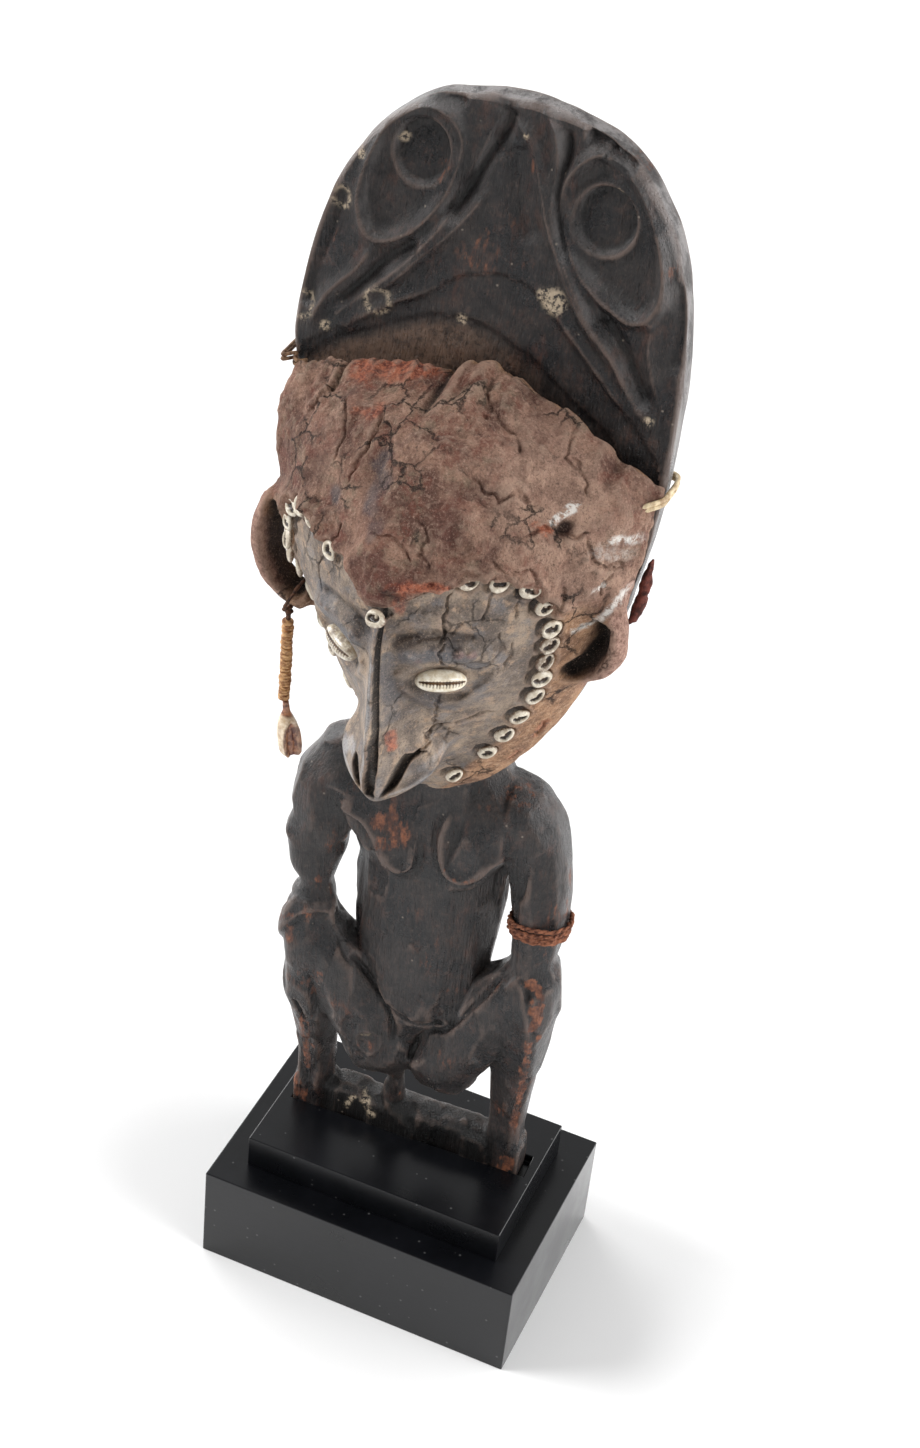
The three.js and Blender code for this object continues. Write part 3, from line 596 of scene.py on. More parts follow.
# Rubbed and torn lines: points of x, y and h, the reach and the strength
body_streaks = [
    ([(52, -16, 129), (56.4, -14.6, 126), (57.2, -17, 117), (56.6, -16, 104)], 2.9, 1.3),
    ([(58, -14, 99), (54.9, -16, 96), (54.6, -12.6, 83), (52.2, -6.4, 61), (50.2, -3.2, 45),
      (49.6, -0.4, 31)], 2.4, 1.0),
    ([(47.5, -1.2, 1), (49.5, -0.7, 6)], 4.5, 1.1),
    ([(-54.9, -4.1, 13), (-50.3, -5.2, 3), (-55, -4, 4)], 4.0, 1.0),
    ([(-48.3, -16.9, 62), (-49.3, -8.5, 40), (-49.6, -4.7, 22)], 2.6, 0.9),
    ([(-41.7, -22.4, 86), (-36.4, -27.4, 103)], 2.2, 0.8),
    ([(-39, -21, 195), (-32, -21, 192), (-19, -24, 185), (-16.5, -24, 177), (-7.4, -21, 169),
      (-3.5, -20, 176)], 1.1, 0.9),
    ([(9.4, -20, 179.5), (13.3, -21, 174), (19, -21, 173), (25, -20, 178)], 1.0, 0.8),
    ([(-46, -18, 172), (-44, -18, 160), (-43, -22, 150)], 2.0, 0.9),
    ([(-49, -26, 147), (-39, -24, 146)], 1.6, 0.9),
    ([(-58, -24, 118), (-56, -27, 127), (-50, -28, 132), (-42, -27, 134)], 1.6, 0.8),
    ([(-57, -20, 131), (-58, -24, 120)], 3.0, 0.9),
]
body_chips = [
    ([(-29.4, -4, 6), (-27.5, -4, 10), (-26, -4, 13)], 1.3, 1.0),
    ([(-20.5, -3, 13.4), (-18.5, -3.6, 10), (-16.4, -4, 6.8)], 2.2, 1.0),
    ([(-23, 1.4, 15.7), (-20.6, -2.7, 13.5)], 1.0, 0.8),
    ([(-14.4, -21, 72.6), (-17.6, -21, 71.6)], 0.8, 0.7),
]


def body_relief(points):
    """How far the body's finer forms stand out of its plain surface."""
    _, y, h, spots = coordinates(points)
    front = smooth(-5, -11, y)
    chest = front * smooth(160, 166, h) * smooth(212, 200, h)
    belly = bump(oval(spots, (4, 112), (22, 24)), 1)
    rise = front * 1.6 * belly
    for line, height, width in body_ridges:
        gap, along, side = nearest(spots, course(line))
        ends = chest * fade(along, 0.12, 0.8)
        rise += height * ends * bump(gap, np.where(side > 0, 2.4 * width, width))
        rise -= 0.7 * ends * (side < 0) * bump(gap - 2.2 * width, width)
    for line, depth, width in body_creases:
        gap, along, _ = nearest(spots, course(line))
        rise -= 1.4 * front * depth * bump(gap, width) * fade(along, 0.1, 0.9)
    knee = inward(spots, closed_course(left_kneecap))
    rise += smooth(-12, -18, y) * 2.0 * smooth(-0.7, 0.7, knee) * smooth(12, 4, knee) * smooth(146, 137, h)
    scar = oval(spots, (-15, 67.5), (5, 7))
    rise += front * (0.5 * bump(scar - 1, 0.25) - 0.4 * smooth(1, 0.7, scar))
    bar = smooth(-2, -6, y) * smooth(24, 20, h)
    bar_dent = bump(oval(spots, (-18, 12), 6), 1)
    return rise - bar * 1.2 * bar_dent * (0.6 + 0.6 * rumple(points, 3, 15))


# How much further out the left arm stands than its plain solid: h and the distance
arm_stand = [
    (143, 0.3), (150, 1.7), (158, 3.2), (163, 4.2), (167, 5.2), (171, 4), (176, 2.9), (180, 4.2),
    (184.5, 6.2), (189, 7.6), (193, 8.2), (197, 8.2), (202, 7.6), (206, 7.2), (211, 8), (215, 9.8),
    (219.5, 12), (228, 13), (236, 12), (252, 5), (264, 0),
]


def body_blank():
    """The figure cut off at the neck and closed there with a rounded stump, in an even mesh."""
    bm = merged_copy("carved_figure")
    cut = Vector((0, 0, (ground + neck_split) * MM))
    geometry = bm.verts[:] + bm.edges[:] + bm.faces[:]
    found = bmesh.ops.bisect_plane(bm, geom=geometry, plane_co=cut, plane_no=(0, 0, 1), clear_outer=True)
    rim = [e for e in found["geom_cut"] if isinstance(e, bmesh.types.BMEdge)]
    bmesh.ops.holes_fill(bm, edges=rim)
    neck = Matrix.LocRotScale(neck_middle + Vector((0, 0, ground)), None, neck_size)
    bmesh.ops.create_uvsphere(bm, u_segments=32, v_segments=20, radius=1, matrix=Matrix.Scale(MM, 4) @ neck)
    bmesh.ops.triangulate(bm, faces=bm.faces)
    return remeshed(bm, "carved_body", body_voxel)


def arm_and_leg_set(points, edges):
    """Rounds the plain solid, narrows the left wrist, and sets the left arm and leg in their places."""
    x, _, h, _ = coordinates(points)
    soft = relaxed(points, edges, 24)
    arm = smooth(-30, -34, x) * smooth(204, 190, h)
    wrist = (arm * smooth(132, 141, h) * smooth(172, 163, h))[:, None]
    soft = soft * (1 - wrist) + relaxed(soft, edges, 90) * wrist
    pinch = 0.27 * arm * bump(h - 144.5, 5)
    soft = soft + pinch[:, None] * ((-43, -19, 0) - soft) * (1, 1, 0)
    arm_out = np.interp(h, *np.array(arm_stand, float).T) * smooth(-22, -38, x)
    armpit = 2.4 * bump(h - 162, 7) * smooth(-43, -36, x) * smooth(-22, -29, x)
    leg_in = 2.3 * smooth(88, 104, h) * smooth(134, 125, h) * smooth(-40, -50, x)
    shoulder_up = 3.5 * smooth(204, 226, h) * smooth(-24, -38, x)
    soft = moved(soft, x=armpit + leg_in - arm_out, h=shoulder_up)
    # The bar keeps its crisp edges
    firm = (0.75 * smooth(22, 16, h))[:, None]
    return soft * (1 - firm) + relaxed(points, edges, 2) * firm, wrist


def carved_body():
    piece = body_blank()
    mesh = piece.data
    edges = read_edges(mesh)
    points, wrist = arm_and_leg_set(read_points(mesh), edges)
    normals = normals_of(mesh, relaxed(points, edges, 40))
    points = knife_facets(points, normals, 9, 0.3, 0.75, 11) * (1 - wrist) + points * wrist
    points = relaxed(points, edges, 2)
    normals = normals_of(mesh, points)
    grain = 0.16 * rumple(points * (1, 1, 0.18), 2.2, 12) + 0.2 * rumple(points * (1, 1, 0.4), 5, 13)
    grain += 0.4 * rumple(points, 17, 14)
    points = points + normals * (body_relief(points) + grain + 0.25)[:, None]
    write_points(mesh, points)
    store_form(mesh, points, 8, 60)
    store(mesh, "stain", streaks(points, body_chips, 16))
    x, y, h, _ = coordinates(points)
    # Painted highlight: a pale line along the bar's top back edge, stored with the crest's dust.
    store(mesh, "dust_and_highlight", 0.4 * smooth(3, 8, y) * bump(h - 15.5, 1.8))
    # Painted shade: the bar between the feet is darkened almost to black, most towards its front.
    between_feet = smooth(44, 39, np.abs(x)) * smooth(20, 17, h)
    store(mesh, "painted_bar_shade", between_feet * (0.6 + 0.4 * smooth(1, -2, y)))
    # Painted sheen: surfaces above the bar that face sideways or up are stored as rim and lightened grey in
    # the wood's colour, less on those turned right.
    side, _, up = normals.T
    facing = smooth(0.6, 0.95, np.hypot(side, 0.8 * up))
    store(mesh, "rim", (0.42 - 0.2 * smooth(0, 0.6, side)) * facing * smooth(20, 40, h))
    store(mesh, "worn", np.maximum(blots(points, body_wear, 17), streaks(points, body_streaks, 18)))
    return piece


# Head

head_voxel = 1.4


def seat_of(node):
    """Centre of a node and the way it faces, from the flat side it rests on."""
    bm = merged_copy(node)
    corners = corners_of(bm)
    sides = {}
    for face in bm.faces:
        key = tuple(round(value, 2) for value in face.normal)
        sides[key] = sides.get(key, 0) + face.calc_area()
    bm.free()
    out = -np.array(max(sides, key=sides.get))
    return corners.mean(0), out / np.linalg.norm(out)


shell_names = sorted(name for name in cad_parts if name.startswith("shell_"))
shell_seats = {name: seat_of(name) for name in shell_names}


panel_chin = [(-8, 222), (0, 218), (8, 222)]
panel_brow = [
    (20, 350), (13, 349), (8, 346), (2, 343), (-4, 341), (-9, 341), (-12, 345), (-17, 349), (-22, 350),
]


def shell_row(side):
    """Places of the shells of one row from the top down, as x and h."""
    seats = [shell_seats[name][0] for name in shell_names if name.startswith(f"shell_{side}")]
    return [(x, z - ground) for x, _, z in seats]


def panel_line():
    """The smooth face inside the shell rows, as a closed line of x and h."""
    return np.array(shell_row("left") + panel_chin + shell_row("right")[::-1] + panel_brow, float)


# Long cracks in the paste, as lines of x and h, each with a depth
cracks = [
    ([(21.4, 348), (20.6, 344.4), (20, 339), (20, 333.5), (20.3, 330.5), (19.8, 328.4), (18.8, 326.4)], 1.0),
    ([(20.6, 326), (20.9, 320), (21.1, 314)], 0.9),
    ([(11.2, 329.6), (13.6, 328.6), (16.1, 328.6), (19.4, 328.8)], 0.8),
    ([(26.1, 335), (23.9, 332), (21, 329.4)], 0.5),
    ([(41.8, 343.5), (41, 339), (41.2, 334.5)], 0.6),
    ([(38, 312), (40.4, 317.6), (41.1, 325.3)], 0.4),
    ([(8, 346), (13, 349), (19, 350), (28, 351)], 1.0),
    ([(18.3, 298), (18, 293), (16.5, 287), (15.2, 280.6)], 0.9),
    ([(13.8, 272.5), (14.1, 276.7), (17.5, 280.5), (22.6, 280.2), (29.3, 285.2), (34.3, 285.8)], 1.1),
    ([(20, 277), (18, 271), (18.5, 266)], 0.5),
    ([(9, 270), (12, 270), (15.5, 272.5)], 1.0),
    ([(1, 399), (8, 401), (12, 397), (18, 395), (26, 393), (30, 388)], 0.9),
    ([(17, 384), (22, 381), (28, 378), (32, 380), (37, 378)], 1.1),
    ([(57, 366), (60, 357), (66, 352), (70, 350)], 0.8),
    ([(-54, 377), (-50, 383), (-47, 389), (-46, 395)], 1.2),
    ([(-8, 364), (-2, 364.5), (4, 363), (7, 359)], 0.7),
    ([(-26, 371), (-24, 378), (-20, 385), (-22, 391)], 0.8),
    ([(52.5, 350), (53, 344), (52.5, 338)], 0.8),
    ([(38, 367), (43, 370), (47, 369), (53, 366), (57, 368)], 1.2),
    ([(-24, 360), (-23, 355), (-26, 349)], 0.8),
    ([(34, 349), (33, 341), (31, 335)], 0.5),
    ([(64, 355), (67, 354), (69, 351)], 0.7),
    ([(66, 350), (63.5, 346), (64, 341)], 0.7),
    ([(30, 361), (35, 357), (42, 357), (47, 352)], 0.6),
    ([(-38, 388), (-33, 381), (-34, 374)], 0.6),
    ([(5, 372), (10, 368), (9, 362), (13, 358)], 0.6),
    ([(24, 318), (30, 313), (35, 316)], 0.4),
    ([(36, 330), (38, 322), (36, 316)], 0.4),
    ([(-32, 340), (-34, 332), (-31, 326)], 0.4),
    ([(48, 273), (46, 268), (44.5, 263)], 1.3),
    ([(38.5, 253), (36.5, 250), (35, 247.5)], 1.4),
    ([(40, 395), (43, 388), (50, 385), (54, 378)], 0.8),
]


# Dents and bosses of the forehead: x, h, reach and rise
forehead_dents = [
    (-15, 380, 7, -2.0), (-8, 363, 7, 1.6), (-32, 366, 6, -1.0), (-60, 384, 6, -1.2),
    (49.8, 369.4, 2.6, -3.6), (49, 374.6, 2.4, 1.2), (18, 371, 6, 0.9), (-3, 352, 7, 1.2),
    (30, 385, 8, 0.8), (15, 352.5, 1.6, -2.2), (20, 352, 1.4, -2), (-19, 349, 2, -2), (-14, 345, 2, -2),
]


def crack_fields(points):
    """Distance to the nearest crack, and how deep that crack is there."""
    sway = np.stack([rumple(points, 2.6, 21), rumple(points, 2.6, 22)], axis=1)
    swayed = coordinates(points)[3] + 0.8 * sway
    gap = np.full(len(points), 9.0)
    depth = np.zeros(len(points))
    for line, cut in cracks:
        here, along, _ = nearest(swayed, np.array(line, float))
        closer = here < gap
        gap[closer] = here[closer]
        depth[closer] = (cut * smooth(-0.02, 0.12, along) * smooth(1.02, 0.88, along))[closer]
    return gap, depth


def finer(piece, choose):
    """Divides the edges of the chosen part of a piece in two."""
    chosen = choose(read_points(piece.data))
    bm = bmesh.new()
    bm.from_mesh(piece.data)
    edges = [e for e in bm.edges if chosen[e.verts[0].index] and chosen[e.verts[1].index]]
    bmesh.ops.subdivide_edges(bm, edges=edges, cuts=1, use_grid_fill=True)
    bmesh.ops.triangulate(bm, faces=[f for f in bm.faces if len(f.verts) > 4])
    bm.to_mesh(piece.data)
    bm.free()


def nose_half(h):
    return np.interp(h, (247, 250.5, 256, 264, 274, 288, 306, 326), (14, 18, 19.3, 18.5, 14, 10.5, 8, 5.5))


def nose_lift(h, share):
    """How far the nose's lower edge rises towards its sides."""
    edge = np.interp(h, (247, 250.5, 256, 264, 274, 288), (6, 7, 6, 3.5, 2, 0))
    return edge * (0.6 + 0.3 * share) * abs(share) ** 1.2


def add_nose_core(bm):
    """Fills the nose to its full form, so that its grooves can be cut finely."""
    made = bmesh.ops.create_grid(bm, x_segments=28, y_segments=30, size=0.5)
    front = [f for v in made["verts"] for f in v.link_faces]
    back = bmesh.ops.extrude_face_region(bm, geom=list(set(front)), use_keep_orig=True)
    back = [v for v in back["geom"] if isinstance(v, bmesh.types.BMVert)]
    deep = set(back)
    for v in made["verts"] + back:
        u, row = 2 * v.co.x, v.co.y + 0.5
        h = 246.5 + 44 * row
        ridge = np.interp(h, (246.5, 256, 264, 274, 288, 306), (-75.5, -80.5, -84.2, -87.4, -90, -90.8))
        flank = np.interp(h, (246.5, 250.5, 264, 274, 288), (-64, -63, -62, -62, -66.5))
        x = u * nose_half(h) * (1 - 0.04 * u)
        fullness = np.interp(h, (250, 262, 276), (1.7, 1.5, 0.95) if u < 0 else (1.2, 1.15, 0.95))
        y = ridge + (flank - ridge) * abs(u) ** fullness if v not in deep else -40
        v.co = (x * MM, y * MM, (ground + h + nose_lift(h, u)) * MM)
    bmesh.ops.recalc_face_normals(bm, faces=bm.faces)


def near_face_details(points):
    """Where the nose, its channel, the eyes and the brow line need a finer mesh."""
    x, y, h, _ = coordinates(points)
    nose = (np.abs(x) < 21) & (y < -56) & (h > 243) & (h < 296)
    channel = (np.abs(x - 1) < 5) & (y < -70) & (h > 286) & (h < 345)
    eyes = (np.abs(x) > 6) & (np.abs(x) < 38) & (h > 292) & (h < 330) & (y < -48)
    brow = (x > -26) & (x < 24) & (h > 340) & (h < 360) & (y < -60)
    return nose | channel | eyes | brow


def head_blank():
    """The head in an even, softened mesh, finer at the face's details and the cracks."""
    bm = merged_copy("modelled_head")
    add_nose_core(bm)
    piece = remeshed(bm, "paste_head", head_voxel)
    mesh = piece.data
    edges = read_edges(mesh)
    points = read_points(mesh)
    x, y, h, _ = coordinates(points)
    nose = smooth(26, 19, np.abs(x)) * smooth(-54, -60, y) * smooth(292, 274, h)
    ear = smooth(-1.5, 1.5, np.abs(x) - half_width(h)) * smooth(286, 290, h) * smooth(346, 340, h)
    hold = np.maximum(0.95 * nose, 0.6 * ear)[:, None]
    points = relaxed(points, edges, 26) * (1 - hold) + relaxed(points, edges, 2) * hold
    write_points(mesh, relaxed(points, edges, 2))
    finer(piece, near_face_details)
    for reach in (1.4, 0.8):
        finer(piece, lambda places: (crack_fields(places)[0] < reach) & (places[:, 1] < -25))
    return piece


def paste_relief(points, front, deep, panel, brow):
    """Ledges, crumbs and dents: rough on the forehead, smooth on the panel, fine on the jaw."""
    _, _, h, spots = coordinates(points)
    # The rough forehead overhangs the smooth face, and the rows of shells stand on a raised border
    rise = 1.6 * brow * smooth(-9, -1.5, -np.abs(deep)) + 0.9 * brow
    rise += 0.7 * front * smooth(345, 335, h) * bump(deep + 1, 3)
    rise -= 0.9 * panel * smooth(0, 2, deep) * smooth(14, 4, deep)
    swell = 1.6 * rumple(points, 24, 32) + 1.2 * rumple(points, 10, 33)
    rise += brow * (swell + 0.6 * np.abs(rumple(points, 7, 28)))
    crumbly = 0.35 + 0.9 * smooth(-0.2, 0.5, rumple(points, 15, 29))
    crumbs = 0.7 * np.minimum(rumple(points, 4.6, 34), 0.2) + 0.34 * rumple(points, 2.3, 35)
    ledge = rumple(points, 19, 26) + 0.35 * rumple(points, 6, 25)
    rise += brow * (0.9 * smooth(-0.03, 0.05, ledge) + 0.8 * smooth(0.32, 0.38, ledge))
    rise += (0.35 + 0.65 * brow) * (1 - 0.85 * panel) * crumbly * crumbs
    rise += (1 - panel) * (1 - brow) * 0.3 * rumple(points, 9, 36)
    rise += panel * (0.3 * rumple(points, 13, 38) + 0.08 * rumple(points, 3, 39))
    for dent_x, dent_h, reach, height in forehead_dents:
        rise += front * height * bump(oval(spots, (dent_x, dent_h), 1), reach)
    return rise


def bed_shells(points):
    """A hollow under each shell and a lip round it."""
    for centre, out in shell_seats.values():
        reach = points - centre
        over = reach @ out
        flat = reach - over[:, None] * out
        flat[:, 0] += math.copysign(0.7, centre[0])
        gap = np.linalg.norm(flat, axis=1)
        near = (np.abs(over) < 7) & (gap < 12)
        uneven = 0.5 + 0.5 * rumple(points, 4, 37)
        lift = 0.8 * bump(gap - 6, 1.4) * uneven - 1.7 * smooth(5.4, 4.0, gap)
        points[near] += lift[near, None] * out


def paste_head():
    piece = head_blank()
    mesh = piece.data
    edges = read_edges(mesh)
    points = relaxed(read_points(mesh), edges, 2)
    normals = normals_of(mesh, relaxed(points, edges, 40))
    _, _, h, spots = coordinates(points)
    front = smooth(0.25, -0.15, normals[:, 1])
    deep = inward(spots, panel_line()) + 1.2 * rumple(points, 6, 31) + 0.6 * rumple(points, 2.4, 30)
    panel = smooth(-0.9, 0.9, deep) * front
    brow = front * (1 - panel) * smooth(330, 342, h)
    gap, depth = crack_fields(points)
    crack_half = depth * (0.32 + 0.24 * rumple(points, 6, 27))
    crack_cut = 1.2 * np.sqrt(depth) * smooth(crack_half + 0.45, crack_half, gap)
    crack_lip = 0.3 * depth * bump(gap - 1.6, 1.0)
    rise = paste_relief(points, front, deep, panel, brow) + front * (crack_lip - crack_cut)
    points = points + normals * rise[:, None]
    bed_shells(points)
    points = carve_eyes(points)
    points, nose_cut = carve_nose(points)
    points, ear_cut = carve_ears(points)
    points = torn_edge(points)
    write_points(mesh, points)
    store_form(mesh, points, 6, 50)
    store(mesh, "panel", panel)
    store(mesh, "brow", brow)
    # The forehead's hole is darkened as painted shade, with the nostrils and ear hollows.
    hole = front * smooth(2.9, 1.6, oval(spots, (49.8, 369.4), 1) + 0.8 * rumple(points, 2, 52))
    store(mesh, "cut", np.maximum(np.maximum(nose_cut, ear_cut), 0.8 * hole))
    store_face_zones(mesh, points)
    return piece


eye_boxes = [box_of(f"eye_cowrie_{side}") for side in ("left", "right")]

# The heavy lid over an eye with the groove and knobs on it, the fold below it and the hollow between,
# as distance from the middle and h
eye_lid = [
    (6, 324), (11, 328.5), (19, 327.6), (25.3, 326.4), (31.8, 323.8), (36.8, 319.3), (37.4, 315),
    (33.5, 314.4), (23, 316), (13.5, 316), (7.7, 318.8),
]
under_eye = [
    (7.7, 312), (9.3, 304.4), (13.1, 297.1), (19, 294.1), (25.2, 294.7), (32.1, 302.1), (36.9, 309.1),
]
over_lid = [(5, 329), (12, 331.5), (20, 330.5), (28, 328.5)]
lid_knobs = [(12, 322), (26.3, 322.7), (30, 322)]
inner_eye = [(10.5, 308), (13, 302), (18, 298.6), (24.6, 299), (30, 304)]


def carve_eyes(points):
    """A rim of paste round each eye, a heavy lid above it and a fold below."""
    x, y, h, _ = coordinates(points)
    front = smooth(-30, -36, y)
    for low, high in eye_boxes:
        middle = (low + high) / 2 - (0, 0, ground)
        side = math.copysign(1, middle[0])
        spots = np.stack([side * x, h], axis=1)
        gap = oval(spots, (side * middle[0], middle[2] - 1.2), (12, 6.2))
        rise = 0.5 * bump(gap - 1.25, 0.16) - 1.0 * smooth(1.08, 0.8, gap)
        lid = inward(spots, closed_course(eye_lid))
        rise += 3.4 * smooth(-0.8, 3.6, lid) + 0.6 * bump(lid, 0.9)
        rise -= 2.0 * bump(gap_to(spots, over_lid), 1.8)
        rise += 2.0 * bump(gap_to(spots, under_eye), 2.2) - 1.4 * bump(gap_to(spots, inner_eye), 2.0)
        for knob in lid_knobs:
            rise += 1.3 * bump(oval(spots, knob, 1), 1.3)
        points = moved(points, y=-rise * front, h=0.35 * rise * front)
    return points


# Edges of the openings under the nose, as x and h
right_bowl = [
    (2.2, 250.4), (4.1, 256.6), (5.5, 261.1), (6.8, 265.8), (8.6, 270.8), (11.4, 270.7), (15.2, 269.8),
    (17.1, 267.2), (17.4, 263.5), (16, 260.6), (13.6, 257.4), (10.8, 255.2), (8.4, 254.4), (5.6, 252.6),
]
right_crescent = [
    (2.4, 250.6), (4.1, 256.6), (5.5, 261.1), (6.8, 265.8), (7.7, 268.8), (9.2, 271.4), (11.4, 270.6),
    (15, 269.8), (13, 268.4), (10.9, 266.6), (9.7, 262.5), (8.6, 258.6), (6.8, 254.8),
]
left_slit = [
    (-5.2, 252), (-4.6, 257.1), (-4.5, 263.4), (-5.6, 267.6), (-8, 268.8), (-9, 266), (-9.6, 262.3),
    (-9, 257.6), (-8.3, 252.8), (-6.2, 251),
]


# The channel down the nose: heights, with its middle and half its width at each
channel_heights = (247, 254, 258, 267, 276, 281, 287, 300, 326)
channel_middles = (-1.8, -1.4, -0.7, 0.85, 1.35, 1.6, 2.0, 1.4, 0.6)
channel_halves = (1.9, 2.0, 2.1, 1.55, 1.15, 1.0, 0.65, 0.7, 0.8)


def carve_nose(points):
    """The channel down the nose opens into a wedge, with a hollow nostril on each side."""
    x, y, h, spots = coordinates(points)
    middle = np.interp(h, channel_heights, channel_middles)
    half = np.interp(h, channel_heights, channel_halves)
    left_slope = smooth(half + 0.3, half - 0.3, middle - x)
    right_slope = smooth(half + 0.5, half - 0.3, x - middle)
    depth = np.interp(h, (249, 252, 262, 278, 286, 330, 342), (1.0, 4.6, 5.0, 3.6, 2.2, 2.0, 0.4))
    channel = depth * left_slope * right_slope * smooth(248.6, 251, h) * smooth(344, 338, h)
    bowl = 1.4 * smooth(-0.3, 1.6, inward(spots, right_bowl))
    crescent = 5.2 * smooth(-0.3, 1.2, inward(spots, closed_course(right_crescent, steps=3)))
    slit = 4.4 * smooth(-0.3, 1.1, inward(spots, closed_course(left_slit, steps=3)))
    nose = smooth(-58, -61, y)
    cut = np.maximum(channel, np.maximum(bowl + crescent, slit)) * nose
    # The nostrils are darkened as painted shade, and the channel for its black paint.
    dark = np.maximum(smooth(0.3, 0.8, channel), smooth(0.5, 1.6, np.maximum(crescent, slit)))
    return moved(points, y=cut), dark * nose


# The hollows of the ears, as x, y and h along the middle and how wide they are
ear_hollows = [
    ([(66.5, -36, 326), (66, -35, 317), (62.5, -35, 309), (57, -38, 304.5)], 5.0, 6.6),
    ([(-65, -36, 334), (-67, -32, 322), (-65.5, -33, 312), (-61, -34, 302), (-56, -35, 298)], 4.4, 6),
]


def carve_ears(points):
    push = np.zeros(len(points))
    for line, width, depth in ear_hollows:
        gap = gap_in_space(points, line, (1, 0.45, 1))
        push = np.maximum(push, depth * smooth(width, width * 0.35, gap))
    # The deep part of each ear hollow is returned for darkening, as painted shade.
    return moved(points, y=push), smooth(1, 4, push)


# The paste's torn upper edge, as x and h
torn_line = [
    (-76, 382), (-67, 389), (-59, 391), (-47, 392), (-32, 397), (-20, 400), (-9, 400), (-6, 405), (6, 407),
    (14, 406), (22, 403), (30, 400), (38, 397), (47, 392), (55, 388), (64, 384), (76, 378),
]


def torn_edge(points):
    """Moves the paste's upper rim from its plain arc to the torn line."""
    x, _, h, _ = coordinates(points)
    upper = crest_middle + 22.6 - 23 * (np.abs(x) / crest_half) ** 1.8
    line = np.interp(x, *np.array(torn_line, float).T)
    near = smooth(upper - 12, upper - 2, h)
    along = points * (1, 0, 0)
    tear = 1.0 * rumple(along, 6, 41) + 0.7 * rumple(along, 2.4, 42)
    gap = 4 * bump(x + 7, 2.2) + 1.6 * bump(x - 57, 3)
    curl = 0.8 * rumple(points, 6, 43) + 0.5 * rumple(points, 2.6, 44)
    return moved(points, y=-near * curl, h=(line - upper + tear - gap) * near)


